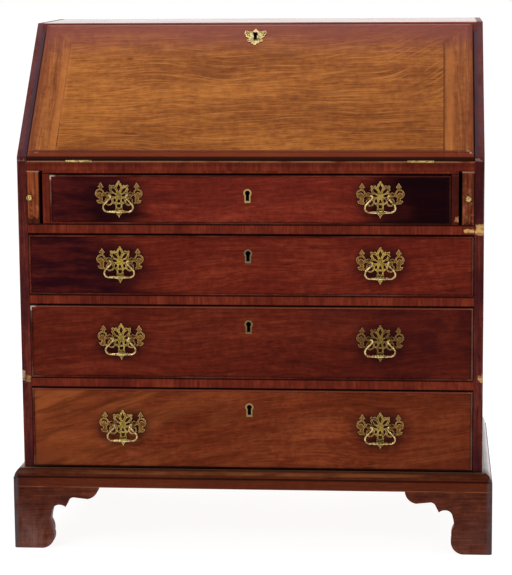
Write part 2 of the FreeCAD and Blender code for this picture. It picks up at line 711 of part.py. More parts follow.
# The thumb moulding round the fall: a quarter round below a small step
ROUND_FOOT = "(fall_thick - thumb_quirk - thumb_radius)"
thumb_section = [
    ("0", ROUND_FOOT, "thumb_radius", -1),
    ("thumb_radius", "fall_thick - thumb_quirk"),
    ("thumb_radius", "fall_thick + 1"),
    ("-1", "fall_thick + 1"),
    ("-1", ROUND_FOOT),
]
thumb_low = profile("thumb_low", "YZ_Plane", thumb_section, f"{FALL_WIDTH} + 2")
place(thumb_low, f"{FALL_EDGE} - 1", "hinge_gap")
thumb_high = mirrored("thumb_high", thumb_low, Y_AXIS, Base__y=f"(hinge_gap + {FALL_TOP}) / 2")
thumb_left = profile("thumb_left", "XZ_Plane", thumb_section, f"{FALL_TOP} + 2")
place(thumb_left, FALL_EDGE, f"{FALL_TOP} + 1")
thumb_right = mirrored("thumb_right", thumb_left)
lip_rebate = board(
    "lip_rebate",
    (f"{FALL_EDGE} - 1", REBATE, "-1"),
    (f"{FALL_WIDTH} + 2", f"{FALL_TOP} - {REBATE} + 1", f"{REBATE_DEPTH} + 1"),
)
edge_cuts = (thumb_low, thumb_high, thumb_left, thumb_right, lip_rebate)

LOCK_LEFT = "(lock_offset - lock_width / 2)"
lock_low = (LOCK_LEFT, f"{REBATE} - lock_height", "0")
lock_blank = board("fall_lock_blank", lock_low, ("lock_width", "lock_height", "lock_depth"))
fall_key_hole = joined(
    "fall_key_hole",
    rod("fall_key_round", ("lock_offset", FALL_KEY, "lock_depth / 2"), "Z", "key_radius", "fall_thick"),
    board(
        "fall_key_slot",
        ("lock_offset - key_slot / 2", f"{FALL_KEY} - key_length", "lock_depth / 2"),
        ("key_slot", "key_length", "fall_thick"),
    ),
)
panel_cuts = [*edge_cuts, lock_blank, fall_key_hole]
for hand, x in HINGES.items():
    recess = ("hinge_length", "leaf_width + 1", "leaf_thick + 1")
    panel_cuts.append(board(f"fall_recess_{hand}", (x, "-1", "-1"), recess))
    panel_cuts.append(rod(f"fall_notch_{hand}", (x, "0", "0"), "X", KNUCKLE_ROOM, "hinge_length"))
panel_tongued = joined("panel_tongued", panel_blank, tongue, mirrored("tongue_right", tongue))
node(on_slope(cut("fall_panel", panel_tongued, *panel_cuts)), "fall_panel")
clamp_left = cut("clamp_left", clamp_blank, tongue, *edge_cuts)
clamps = group("fall_clamps", clamp_left, mirrored("clamp_right", clamp_left))
node(on_slope(clamps), "fall_clamps")

# The fall's lock, let into its inner face, and the bolt that shoots up into the top board
BOLT_LEFT = "(lock_offset - bolt_width / 2)"
fall_bolt = board(
    "fall_bolt_blank",
    (BOLT_LEFT, f"{REBATE} - bolt_length", "bolt_cover"),
    ("bolt_width", "bolt_length", "bolt_thick"),
)
fall_bolt_way = board(
    "fall_bolt_way",
    (f"{BOLT_LEFT} - bolt_gap", f"{REBATE} - bolt_length - bolt_gap", "bolt_cover - bolt_gap"),
    ("bolt_width + 2 * bolt_gap", "bolt_length + 1", "bolt_thick + 2 * bolt_gap"),
)
node(on_slope(cut("fall_lock", lock_blank, fall_bolt_way, fall_key_hole)), "fall_lock")
node(on_slope(group("fall_lock_bolt", fall_bolt)), "fall_lock_bolt")


# Cast brass ornament is drawn as flat leaves, discs, bars and fields, joined and pierced
def spot(x, z):
    return FreeCAD.Vector(x, 0, z)


def leaf_form(start, end, width):
    """A pointed leaf from start to end: two equal arcs."""
    a, b = spot(*start), spot(*end)
    across = (b - a).cross(Y_AXIS).normalize() * width / 2
    middle = (a + b) / 2
    edges = [Part.Arc(a, middle + across, b).toShape(), Part.Arc(b, middle - across, a).toShape()]
    return Part.Face(Part.Wire(edges))


def disc_form(middle, radius):
    return Part.Face(Part.Wire(Part.makeCircle(radius, spot(*middle), Y_AXIS)))


def field_form(*corners):
    """A flat field with straight sides."""
    points = [spot(*corner) for corner in corners]
    return Part.Face(Part.makePolygon([*points, points[0]]))


def bar_form(start, end, width):
    """A straight bar from start to end."""
    a, b = spot(*start), spot(*end)
    across = (b - a).cross(Y_AXIS).normalize() * width / 2
    return Part.Face(Part.makePolygon([a + across, b + across, b - across, a - across, a + across]))


def both_hands(forms):
    """The forms and their mirror images."""
    return forms + [form.mirror(FreeCAD.Vector(), X_AXIS) for form in forms]


def casting(name, solid_forms, piercings, thickness):
    """A flat casting of joined forms, less its piercings, growing to -Y."""
    outward = FreeCAD.Vector(0, -number(thickness), 0)
    solids = [form.extrude(outward) for form in solid_forms]
    whole = solids[0].multiFuse(solids[1:]).removeSplitter()
    whole = whole.cut([form.extrude(outward) for form in piercings])
    if len(whole.Solids) != 1:
        raise RuntimeError(f"{name} fell into {len(whole.Solids)} pieces")
    piece = doc.addObject("Part::Feature", name)
    piece.Shape = whole.Solids[0]
    return piece


# The pierced plate: a five-leaf fan over an openwork waist and pendant, with scrolled ears
HALF_SPAN = number("post_span / 2")
RAISE = number("post_raise")
EAR = (HALF_SPAN + 14.6, RAISE + 2)
plate_forms = [
    disc_form((0, 0.4), 5.2),
    leaf_form((0, 3), (0, 29.5), 14.4),
    disc_form((0, 29.4), 1.8),
    field_form((-13.5, -1), (13.5, -1), (12.6, -12), (7.4, -15.5), (-7.4, -15.5), (-12.6, -12)),
    field_form((-7.4, -13), (7.4, -13), (6, -19), (7.2, -26.5), (-7.2, -26.5), (-6, -19)),
    field_form((-7.2, -26), (7.2, -26), (5.4, -33.5), (1.6, -38), (0, -42), (-1.6, -38), (-5.4, -33.5)),
]
plate_forms += both_hands(
    [
        field_form((2, 3), (8.2, 21), (17, 21.8), (18.4, 20), (16.8, 8), (3, 0)),
        disc_form((17, 20.4), 2.2),
        disc_form((10, 20.8), 1.8),
        disc_form((17.2, 14), 2),
        field_form((1, 1), (16, 9.5), (18.6, 6), (17.4, -1), (13.2, -3), (1, -3)),
        disc_form((HALF_SPAN, RAISE), 4.9),
        bar_form((15, 3), (HALF_SPAN, RAISE), 4.4),
        bar_form((HALF_SPAN, RAISE), (EAR[0] - 4, EAR[1] - 1), 5),
        disc_form(EAR, 9),
        bar_form((EAR[0] - 2, EAR[1] + 7), (EAR[0] - 2, EAR[1] + 14), 4.8),
        field_form((EAR[0] - 7.6, EAR[1] + 12.4), (EAR[0] + 3.6, EAR[1] + 12.4), (EAR[0] - 2, EAR[1] + 21.4)),
        leaf_form((EAR[0] - 2.6, EAR[1] - 6), (EAR[0] - 0.8, EAR[1] - 19), 7.6),
        leaf_form((EAR[0] - 2, EAR[1] - 19.5), (EAR[0] + 6.4, EAR[1] - 13.6), 4.6),
        disc_form((EAR[0] - 6, EAR[1] - 18.4), 2.1),
        bar_form((EAR[0] - 6, EAR[1] - 18.4), (EAR[0] - 1, EAR[1] - 17.8), 3.2),
        disc_form((19.6, -9.8), 8.2),
        bar_form((HALF_SPAN - 1, RAISE), (22, -6), 4),
    ]
)
plate_holes = [
    field_form((0, 8.6), (3.9, 17.5), (0, 26), (-3.9, 17.5)),
    field_form((-1.3, -4.8), (1.3, -4.8), (4, -12.2), (-4, -12.2)),
    field_form((-4.4, -15.2), (4.4, -15.2), (3.4, -22.4), (-3.4, -22.4)),
    disc_form((0, -32), 2),
]
plate_holes += both_hands(
    [
        leaf_form((4.2, 5.8), (14.9, 17.6), 6.4),
        leaf_form((5, 0.9), (16, 4.2), 5.6),
        leaf_form((7.9, -3.2), (8.8, -11.8), 5.6),
        disc_form((19.8, -10), 5.7),
        disc_form((EAR[0] - 0.2, EAR[1] + 0.8), 5.8).cut(disc_form((EAR[0] + 0.4, EAR[1] - 2.2), 4.6)),
        disc_form((EAR[0] - 2, EAR[1] + 15), 1.3),
        disc_form((HALF_SPAN, RAISE), number("post_radius + post_gap")),
    ]
)
plate = casting("pierced_plate", plate_forms, plate_holes, "plate_thick")

# The fall's escutcheon: a scalloped cartouche round the keyhole
KEY_SLOT = number("key_slot / 2")
KEY_LENGTH = number("key_length")
escutcheon_forms = [
    leaf_form((0, 14), (0, -20), 14),
    field_form((-15.5, 6.6), (15.5, 6.6), (13, -9), (-13, -9)),
    field_form((-9, -8), (9, -8), (6, -22), (0, -28), (-6, -22)),
    disc_form((0, -26.4), 2.4),
]
escutcheon_forms += both_hands(
    [
        disc_form((17.6, 3), 4.4),
        disc_form((18.6, 6.4), 2.8),
        disc_form((15.4, -4.4), 3.6),
        disc_form((11, -8.6), 2.6),
        leaf_form((4, -11), (14.6, -18.8), 7.4),
        disc_form((12.4, -17.8), 2.3),
        disc_form((6, -22), 2.6),
    ]
)
escutcheon_holes = [
    disc_form((0, 0), number("key_radius")),
    field_form((-KEY_SLOT, 0), (KEY_SLOT, 0), (KEY_SLOT, -KEY_LENGTH), (-KEY_SLOT, -KEY_LENGTH)),
]
escutcheon = casting("escutcheon_upright", escutcheon_forms, escutcheon_holes, "fall_plate_thick")
escutcheon.Placement.Rotation = FreeCAD.Rotation(X_AXIS, -90)
place(escutcheon, "lock_offset", FALL_KEY, "fall_thick")
node(on_slope(group("fall_escutcheon", escutcheon)), "fall_escutcheon")


# The lopers that hold up the open fall: an oak bar faced with mahogany, and a turned brass knob
def turned_knob(name, ball, reach, neck, shank_radius, shank):
    """A knob about Y, its ball towards -Y, with a screw going back into the wood from Y = 0."""
    meet = f"sqrt({ball}^2 - {neck}^2)"
    collar = f"(1.7 * {neck})"
    rim = f"(0.12 * {reach})"
    cove = f"(0.8 * {neck})"
    return turned(
        name,
        [
            ("0", shank),
            (shank_radius, shank),
            (shank_radius, "0"),
            (collar, "0"),
            (collar, f"-{rim}", cove, 1),
            (neck, f"-{rim} - {cove}"),
            (neck, f"-{reach} + {meet}", ball, -1),
            (ball, f"-{reach}", ball, -1),
            ("0", f"-{reach} - {ball}"),
        ],
    )


LOPER_LEFT = f"(-{INSIDE} + loper_gap)"
LOPER_LOW = f"({FLOOR[1]} + loper_gap)"
LOPER_HEIGHT = f"({BED_LOW} - {FLOOR[1]} - 2 * loper_gap)"
LOPER_FRONT = f"({FRONT} - loper_proud)"
loper_low = (LOPER_LEFT, LOPER_FRONT, LOPER_LOW)
loper_face = board("loper_face_blank", loper_low, ("loper_thick", "loper_face", LOPER_HEIGHT))
loper_bar = board(
    "loper_bar",
    (LOPER_LEFT, f"{LOPER_FRONT} + loper_face", LOPER_LOW),
    ("loper_thick", f"{REAR} - loper_rear_gap - {LOPER_FRONT} - loper_face", LOPER_HEIGHT),
)
KNOB_SHIFT = {"left": "left_knob_shift", "right": "0"}
SCREW = "(0.6 * knob_neck)"
brass_knob = turned_knob("brass_knob", "knob_radius", "knob_reach", "knob_neck", SCREW, "knob_shank")
for hand, shift in KNOB_SHIFT.items():
    middle = (f"{LOPER_LEFT} + loper_thick / 2 + {shift}", LOPER_FRONT, f"{LOPER_LOW} + {LOPER_HEIGHT} / 2")
    knob_hole = rod(f"{hand}_knob_hole", middle, "Y", SCREW, "knob_shank")
    facing = cut(f"{hand}_loper_facing", loper_face, knob_hole)
    loper = group(f"{hand}_loper_pieces", facing, loper_bar)
    knob = group(f"{hand}_knob_piece", copy_of(f"{hand}_brass_knob", brass_knob, *middle))
    for piece, label in ((loper, f"loper_{hand}"), (knob, f"loper_{hand}_knob")):
        node(mirrored(label, piece) if hand == "right" else piece, label)


# The swan-neck bail, its grip along X through the origin and its pivot straight above
LEAN_COS = "cos(bail_lean)"
LEAN_SIN = "sin(bail_lean)"
NECK_X = "(post_span / 2 - post_head - bail_gap)"
CORNER_X = "(bail_width / 2 - bail_corner)"
BEND = (f"({CORNER_X} + bail_corner * {LEAN_SIN})", f"(bail_corner + bail_corner * {LEAN_COS})")
NECK_LOW_X = f"({NECK_X} - bail_neck * {LEAN_SIN})"
NECK_LOW_Z = f"({BEND[1]} + ({BEND[0]} - {NECK_LOW_X}) * {LEAN_SIN} / {LEAN_COS})"
BAIL_DROP = f"({NECK_LOW_Z} + bail_neck + bail_neck * {LEAN_COS})"
GRIP_HALF = f"(0.9 * {CORNER_X})"
SWELL = "(bail_swell - bail_rod)"
bail = new_body("bail")
grip_sketch = draw(
    sketch_on(bail, "grip_outline", "XZ_Plane"),
    [
        (f"-{GRIP_HALF}", "0"),
        (GRIP_HALF, "0"),
        (GRIP_HALF, "bail_rod", f"({GRIP_HALF}^2 + {SWELL}^2) / (2 * {SWELL})", 1),
        (f"-{GRIP_HALF}", "bail_rod"),
    ],
)
grip = bail.newObject("PartDesign::Revolution", "grip")
grip.Profile = grip_sketch
grip.ReferenceAxis = (grip_sketch, ["H_Axis"])
grip.Angle = 360
rod_section = sketch_on(bail, "rod_section", "YZ_Plane")
rod_section.addGeometry(Part.Circle(FreeCAD.Vector(), FreeCAD.Vector(0, 0, 1), number("bail_rod")))
rod_section.addConstraint(Sketcher.Constraint("Coincident", 0, 3, -1, 1))
rod_section.addConstraint(Sketcher.Constraint("Radius", 0, number("bail_rod")))
rod_section.setExpression("Constraints[1]", bound("bail_rod"))
rod_path = draw(
    sketch_on(bail, "rod_path", "XZ_Plane"),
    [
        ("0", "0"),
        (CORNER_X, "0", "bail_corner", 1),
        (f"{CORNER_X} + bail_corner", "bail_corner", "bail_corner", 1),
        BEND,
        (NECK_LOW_X, NECK_LOW_Z, "bail_neck", -1),
        (f"{NECK_X} - bail_neck", f"{BAIL_DROP} - bail_neck", "bail_neck", -1),
        (NECK_X, BAIL_DROP),
        ("post_span / 2 + 0.8 * post_head", BAIL_DROP),
    ],
    closed=False,
)
doc.recompute()
half_rod = bail.newObject("PartDesign::AdditivePipe", "half_rod")
half_rod.Profile = rod_section
half_rod.Spine = (rod_path, [f"Edge{i + 1}" for i in range(len(rod_path.Geometry))])
whole_rod = bail.newObject("PartDesign::Mirrored", "whole_rod")
whole_rod.Originals = [half_rod]
whole_rod.MirrorPlane = (next(f for f in bail.Origin.OriginFeatures if f.Role == "YZ_Plane"), [""])
bail.Tip = whole_rod

# A post: a ball head bored for the bail, a collar on the plate and a shank through the drawer front
post_blank = turned(
    "post_blank",
    [
        ("0", "front_thick + post_tail"),
        ("post_radius", "front_thick + post_tail"),
        ("post_radius", "-plate_thick"),
        ("post_collar", "-plate_thick"),
        ("post_collar", "-plate_thick - post_collar_thick"),
        ("post_stem", "-plate_thick - post_collar_thick - post_taper"),
        ("post_stem", "-post_reach + sqrt(post_head^2 - post_stem^2)", "post_head", -1),
        ("post_head", "-post_reach", "post_head", -1),
        ("0", "-post_reach - post_head"),
    ],
)
post_eye = rod("post_eye", ("-2 * post_head", "-post_reach", "0"), "X", "bail_rod + run_gap", "4 * post_head")
post = cut("post", post_blank, post_eye)
nut_blank = board(
    "nut_blank",
    ("-nut_size / 2", "front_thick", "-nut_size / 2"),
    ("nut_size", "nut_thick", "nut_size"),
)
shank_bore = rod("shank_bore", ("0", "-1", "0"), "Y", "post_radius + post_gap", "front_thick + post_tail + 2")
shank_hole = group("shank_hole", shank_bore)
nut = cut("nut", nut_blank, shank_hole)

# The thread that lines a keyhole: a round over a straight skirt
thread_blank = joined(
    "thread_blank",
    rod("thread_round", ("0", "-thread_proud", "0"), "Y", "thread_radius", "thread_thick + thread_proud"),
    board(
        "thread_skirt_blank",
        ("-thread_skirt / 2", "-thread_proud", "-thread_length"),
        ("thread_skirt", "thread_thick + thread_proud", "thread_length"),
    ),
)
key_hole = joined(
    "key_hole",
    rod("key_round", ("0", "-1", "0"), "Y", "key_radius", "front_thick - lock_depth / 2 + 1"),
    board(
        "key_slot_blank",
        ("-key_slot / 2", "-1", "-key_length"),
        ("key_slot", "front_thick - lock_depth / 2 + 1", "key_length"),
    ),
)
thread = cut("keyhole_thread", thread_blank, key_hole)


# The drawers
TAILS = {1: 3, 2: 3, 3: 4, 4: 4}
DRAWER_BACK = f"({REAR} - drawer_rear_gap)"


def dovetails(name, count, low, high, left, tip, base, flare):
    """Tails in the plane of a drawer's left side, wide at the tip and narrow at the base."""
    pitch = f"(({high} - {low}) / {count})"
    tails = []
    for i in range(count):
        tail = doc.addObject("Part::Wedge", f"{name}_{i + 1}")
        bottom = f"{low} + {i} * {pitch} + pin_width / 2"
        top = f"{low} + {i + 1} * {pitch} - pin_width / 2"
        wide = {"Zmin": f"{bottom} - {flare}", "Zmax": f"{top} + {flare}", "Z2min": bottom, "Z2max": top}
        bind(tail, Xmin=left, Xmax=f"{left} + drawer_wall", X2min=left, X2max=f"{left} + drawer_wall")
        bind(tail, Ymin=tip, Ymax=base, **wide)
        tails.append(tail)
    return tails


def through_dovetails(name, count, low, high, left):
    """The same at the back corner, where the tips show at the back."""
    pitch = f"(({high} - {low}) / {count})"
    tails = []
    for i in range(count):
        tail = doc.addObject("Part::Wedge", f"{name}_{i + 1}")
        bottom = f"{low} + {i} * {pitch} + pin_width / 2"
        top = f"{low} + {i + 1} * {pitch} - pin_width / 2"
        bind(tail, Xmin=left, Xmax=f"{left} + drawer_wall", X2min=left, X2max=f"{left} + drawer_wall")
        bind(tail, Ymin=f"{DRAWER_BACK} - drawer_wall", Ymax=DRAWER_BACK, Zmin=bottom, Zmax=top)
        bind(tail, Z2min=f"{bottom} - tail_flare / 2", Z2max=f"{top} + tail_flare / 2")
        tails.append(tail)
    return tails


def cock_bead(name, corners, x, z):
    """One mitred strip with a round nose, let into the edge of a drawer front."""
    bead = profile(name, "XZ_Plane", corners, "bead_depth + bead_proud")
    place(bead, x, f"{FRONT} + bead_depth", z)
    doc.recompute()
    pad = bead.Tip
    nose = min(edge.BoundBox.YMax for edge in pad.Shape.Edges)
    edges = enumerate(pad.Shape.Edges, start=1)
    front_edges = [(edge.Length, i) for i, edge in edges if edge.BoundBox.YMax < nose + 0.01]
    longest = sorted(front_edges)[-2:]
    rounding = bead.newObject("PartDesign::Fillet", f"{name}_nose")
    rounding.Base = (pad, [f"Edge{i}" for _, i in longest])
    bind(rounding, Radius="0.49 * bead_thick")
    return bead


for drawer in DRAWERS:
    tag = f"drawer_{drawer}"
    half = f"({HALF[drawer]} - drawer_gap)"
    low = f"({FLOOR[drawer]} + drawer_lift)"
    high = f"({CEILING[drawer]} - drawer_top_gap)"
    height = f"({high} - {low})"
    wall_high = f"({high} - drawer_drop)"
    floor_low = f"({low} + floor_rise)"
    floor_high = f"({floor_low} + drawer_floor)"
    inside = f"({half} - drawer_wall)"
    behind = f"({FRONT} + front_thick)"

    # The sides, dovetailed to the front with a lap and through the back, and grooved for the bottom
    front_tails = dovetails(
        f"{tag}_tail", TAILS[drawer], low, wall_high, f"-{half}", f"{FRONT} + tail_lap", behind, "tail_flare"
    )
    back_tails = through_dovetails(f"{tag}_back_tail", TAILS[drawer], floor_high, wall_high, f"-{half}")
    wall = board(
        f"{tag}_wall",
        (f"-{half}", behind, low),
        ("drawer_wall", f"{DRAWER_BACK} - drawer_wall - {behind}", f"{wall_high} - {low}"),
    )
    sill = board(
        f"{tag}_sill",
        (f"-{half}", f"{DRAWER_BACK} - drawer_wall", low),
        ("drawer_wall", "drawer_wall", f"{floor_high} - {low}"),
    )
    groove = board(
        f"{tag}_groove",
        (f"-{inside} - groove_depth", behind, floor_low),
        ("groove_depth + 1", f"{DRAWER_BACK} - {behind} + 1", "drawer_floor"),
    )
    wall_tailed = joined(f"{tag}_wall_tailed", wall, sill, *front_tails, *back_tails)
    wall_left = cut(f"{tag}_side_left", wall_tailed, groove)
    wall_right = mirrored(f"{tag}_side_right", wall_left)

    # The back stands on the bottom, which slides in from behind
    back_blank = board(
        f"{tag}_back_blank",
        (f"-{half}", f"{DRAWER_BACK} - drawer_wall", floor_high),
        (f"2 * {half}", "drawer_wall", f"{wall_high} - {floor_high}"),
    )
    back_sockets = group(f"{tag}_back_sockets", *back_tails)
    back = cut(f"{tag}_back", back_blank, back_sockets, mirrored(f"{tag}_back_sockets_right", back_sockets))
    floor_board = board(
        f"{tag}_floor",
        (f"-{inside} - groove_depth", behind, floor_low),
        (f"2 * {inside} + 2 * groove_depth", f"{DRAWER_BACK} - {behind}", "drawer_floor"),
    )
    floor_tongue = board(
        f"{tag}_floor_tongue",
        (f"-{inside}", f"{behind} - groove_depth", floor_low),
        (f"2 * {inside}", "groove_depth", "drawer_floor"),
    )
    drawer_floor = joined(f"{tag}_bottom", floor_board, floor_tongue)
    node(group(f"{tag}_box", wall_left, wall_right, back, drawer_floor), f"{tag}_box")

    # The front: rebated round its face for the beads, and cut for dovetails, bottom, lock, key and posts
    front_back = board(
        f"{tag}_front_back",
        (f"-{half}", f"{FRONT} + bead_depth", low),
        (f"2 * {half}", "front_thick - bead_depth", height),
    )
    front_face = board(
        f"{tag}_front_face",
        (f"-{half} + bead_thick", FRONT, f"{low} + bead_thick"),
        (f"2 * {half} - 2 * bead_thick", "bead_depth", f"{height} - 2 * bead_thick"),
    )
    sockets = group(f"{tag}_sockets", *front_tails)
    lock_low = f"({high} - lock_height)"
    lock_blank = board(
        f"{tag}_lock_blank",
        (LOCK_LEFT, f"{behind} - lock_depth", lock_low),
        ("lock_width", "lock_depth", "lock_height"),
    )
    key = ("lock_offset", FRONT, f"{high} - key_drop")
    hub = f"({low} + {height} / 2 + plate_raise)"
    posts = []
    for hand, x in (("left", "-handle_offset"), ("right", "handle_offset")):
        for side, step in (("outer", "- post_span / 2"), ("inner", "+ post_span / 2")):
            posts.append((f"{tag}_{hand}_{side}", (f"{x} {step}", FRONT, f"{hub} + post_raise")))
    front_cuts = [
        sockets,
        mirrored(f"{tag}_sockets_right", sockets),
        floor_tongue,
        lock_blank,
        copy_of(f"{tag}_thread_seat", thread_blank, *key),
        copy_of(f"{tag}_key_hole", key_hole, *key),
    ]
    front_cuts += [copy_of(f"{name}_hole", shank_hole, *at) for name, at in posts]
    front_solid = joined(f"{tag}_front_blank", front_back, front_face)
    node(cut(f"{tag}_front", front_solid, *front_cuts), f"{tag}_front")

    # The four cock beads
    wide = f"(2 * {half})"
    far_x, far_z = f"{wide} - bead_thick", f"{height} - bead_thick"
    mitred = {
        "low": [("0", "0"), (wide, "0"), (far_x, "bead_thick"), ("bead_thick", "bead_thick")],
        "high": [("0", height), ("bead_thick", far_z), (far_x, far_z), (wide, height)],
        "left": [("0", "0"), ("bead_thick", "bead_thick"), ("bead_thick", far_z), ("0", height)],
        "right": [(wide, "0"), (wide, height), (far_x, far_z), (far_x, "bead_thick")],
    }
    beads = [cock_bead(f"{tag}_bead_{edge}", corners, f"-{half}", low) for edge, corners in mitred.items()]
    node(group(f"{tag}_beads", *beads), f"{tag}_beads")

    # The brasses: plates, posts and nuts, the keyhole thread and the lock
    bolt_low = f"({high} - bolt_length)"
    bolt = board(
        f"{tag}_bolt_blank",
        (BOLT_LEFT, f"{BOLT_BACK} - bolt_thick", bolt_low),
        ("bolt_width", "bolt_thick", "bolt_length"),
    )
    bolt_way = board(
        f"{tag}_bolt_way",
        (f"{BOLT_LEFT} - bolt_gap", f"{BOLT_BACK} - bolt_thick - bolt_gap", f"{bolt_low} - bolt_gap"),
        ("bolt_width + 2 * bolt_gap", "bolt_thick + 2 * bolt_gap", "bolt_length + 1"),
    )
    lock_key = copy_of(f"{tag}_lock_key", key_hole, *key)
    brasses = [cut(f"{tag}_lock", lock_blank, bolt_way, lock_key)]
    brasses.append(copy_of(f"{tag}_thread", thread, *key))
    for name, at in posts:
        brasses += [copy_of(f"{name}_post", post, *at), copy_of(f"{name}_nut", nut, *at)]
    for hand, x in (("left", "-handle_offset"), ("right", "handle_offset")):
        brasses.append(copy_of(f"{tag}_plate_{hand}", plate, x, FRONT, hub))
        pivot = f"{hub} + post_raise - {BAIL_DROP}"
        hanging = copy_of(f"{tag}_bail_{hand}_copy", bail, x, f"{FRONT} - post_reach", pivot)
        node(group(f"{tag}_bail_{hand}", hanging), f"{tag}_bail_{hand}")
    node(group(f"{tag}_brasses", *brasses), f"{tag}_brasses")
    node(group(f"{tag}_lock_bolt", bolt), f"{tag}_lock_bolt")


# The desk interior: pigeonholes over four small drawers
FITTING = f"({FRONT} + fitting_setback)"
FITTING_DEPTH = f"({REAR} - {FITTING})"
SHELF = f"({BED} + shelf_rise)"
SHELF_TOP = f"({SHELF} + shelf_thick)"
HOLES = 8
SMALL_DRAWERS = 4
HOLE = f"((2 * {INSIDE} - {HOLES - 1} * divider_thick) / {HOLES})"
SMALL_HOLE = f"((2 * {INSIDE} - {SMALL_DRAWERS - 1} * divider_thick) / {SMALL_DRAWERS})"
shelf = board("shelf", (f"-{INSIDE}", FITTING, SHELF), (f"2 * {INSIDE}", FITTING_DEPTH, "shelf_thick"))
dividers = []
for i in range(1, HOLES):
    low = (f"-{INSIDE} + {i} * ({HOLE} + divider_thick) - divider_thick", FITTING, SHELF_TOP)
    dividers.append(board(f"divider_{i}", low, ("divider_thick", FITTING_DEPTH, f"{TOP_LOW} - {SHELF_TOP}")))
for i in range(1, SMALL_DRAWERS):
    low = (f"-{INSIDE} + {i} * ({SMALL_HOLE} + divider_thick) - divider_thick", FITTING, BED)
    dividers.append(board(f"small_divider_{i}", low, ("divider_thick", FITTING_DEPTH, "shelf_rise")))
node(group("pigeonhole_shelf", shelf), "pigeonhole_shelf")
node(group("pigeonhole_dividers", *dividers), "pigeonhole_dividers")

ARCH = f"({HOLE} / 2 - apron_toe)"
apron_master = profile(
    "apron",
    "XZ_Plane",
    [
        ("0", "0"),
        ("apron_toe", "0", f"({ARCH}^2 + apron_arch^2) / (2 * apron_arch)", -1),
        (f"{HOLE} - apron_toe", "0"),
        (HOLE, "0"),
        (HOLE, "apron_height"),
        ("0", "apron_height"),
    ],
    "apron_thick",
)
aprons = []
for i in range(HOLES):
    x = f"-{INSIDE} + {i} * ({HOLE} + divider_thick)"
    at = (x, f"{FITTING} + apron_thick", f"{TOP_LOW} - apron_height")
    aprons.append(copy_of(f"apron_{i + 1}", apron_master, *at))
node(group("pigeonhole_aprons", *aprons), "pigeonhole_aprons")

PEG = "(0.4 * small_knob)"
SMALL_REACH = "(1.6 * small_knob)"
SMALL_NECK = "(0.45 * small_knob)"
wooden_knob = turned_knob("wooden_knob", "small_knob", SMALL_REACH, SMALL_NECK, PEG, "small_front")
SMALL_WIDTH = f"({SMALL_HOLE} - 2 * small_gap)"
SMALL_LOW = f"({BED} + small_gap)"
SMALL_HIGH = f"({SHELF} - small_gap)"
for i in range(SMALL_DRAWERS):
    tag = f"small_drawer_{i + 1}"
    x = f"(-{INSIDE} + {i} * ({SMALL_HOLE} + divider_thick) + small_gap)"
    height = f"({SMALL_HIGH} - {SMALL_LOW})"
    front_blank = board(f"{tag}_front_blank", (x, FITTING, SMALL_LOW), (SMALL_WIDTH, "small_front", height))
    middle = (f"{x} + {SMALL_WIDTH} / 2", FITTING, f"{SMALL_LOW} + {height} / 2")
    peg_hole = rod(f"{tag}_peg_hole", middle, "Y", PEG, "small_front")
    inner = f"({FITTING} + small_front)"
    right = f"{x} + {SMALL_WIDTH} - small_wall"
    small_back = f"({REAR} - small_rear_gap)"
    depth = f"{small_back} - {inner}"
    walls = [
        board(f"{tag}_left", (x, inner, SMALL_LOW), ("small_wall", depth, height)),
        board(f"{tag}_right", (right, inner, SMALL_LOW), ("small_wall", depth, height)),
        board(
            f"{tag}_back",
            (f"{x} + small_wall", f"{small_back} - small_wall", SMALL_LOW),
            (f"{SMALL_WIDTH} - 2 * small_wall", "small_wall", height),
        ),
        board(
            f"{tag}_floor",
            (f"{x} + small_wall", inner, SMALL_LOW),
            (f"{SMALL_WIDTH} - 2 * small_wall", f"{depth} - small_wall", "small_wall"),
        ),
    ]
    front = cut(f"{tag}_front", front_blank, peg_hole)
    node(group(tag, front, *walls, copy_of(f"{tag}_knob", wooden_knob, *middle)), tag)


# Nothing is written unless every object came out whole
doc.recompute()
for thing in doc.Objects:
    if "Invalid" in thing.State or "Error" in thing.State:
        raise RuntimeError(f"{thing.Label} failed: {thing.State}")
for piece in nodes:
    if piece.Shape.isNull() or not piece.Shape.isValid():
        raise RuntimeError(f"{piece.Label} has no valid shape")
os.makedirs("parts", exist_ok=True)
for piece in nodes:
    piece.Shape.exportStep(f"parts/{piece.Label}.step")
print(len(nodes), "nodes,", sum(len(piece.Shape.Solids) for piece in nodes), "solids")
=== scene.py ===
import math

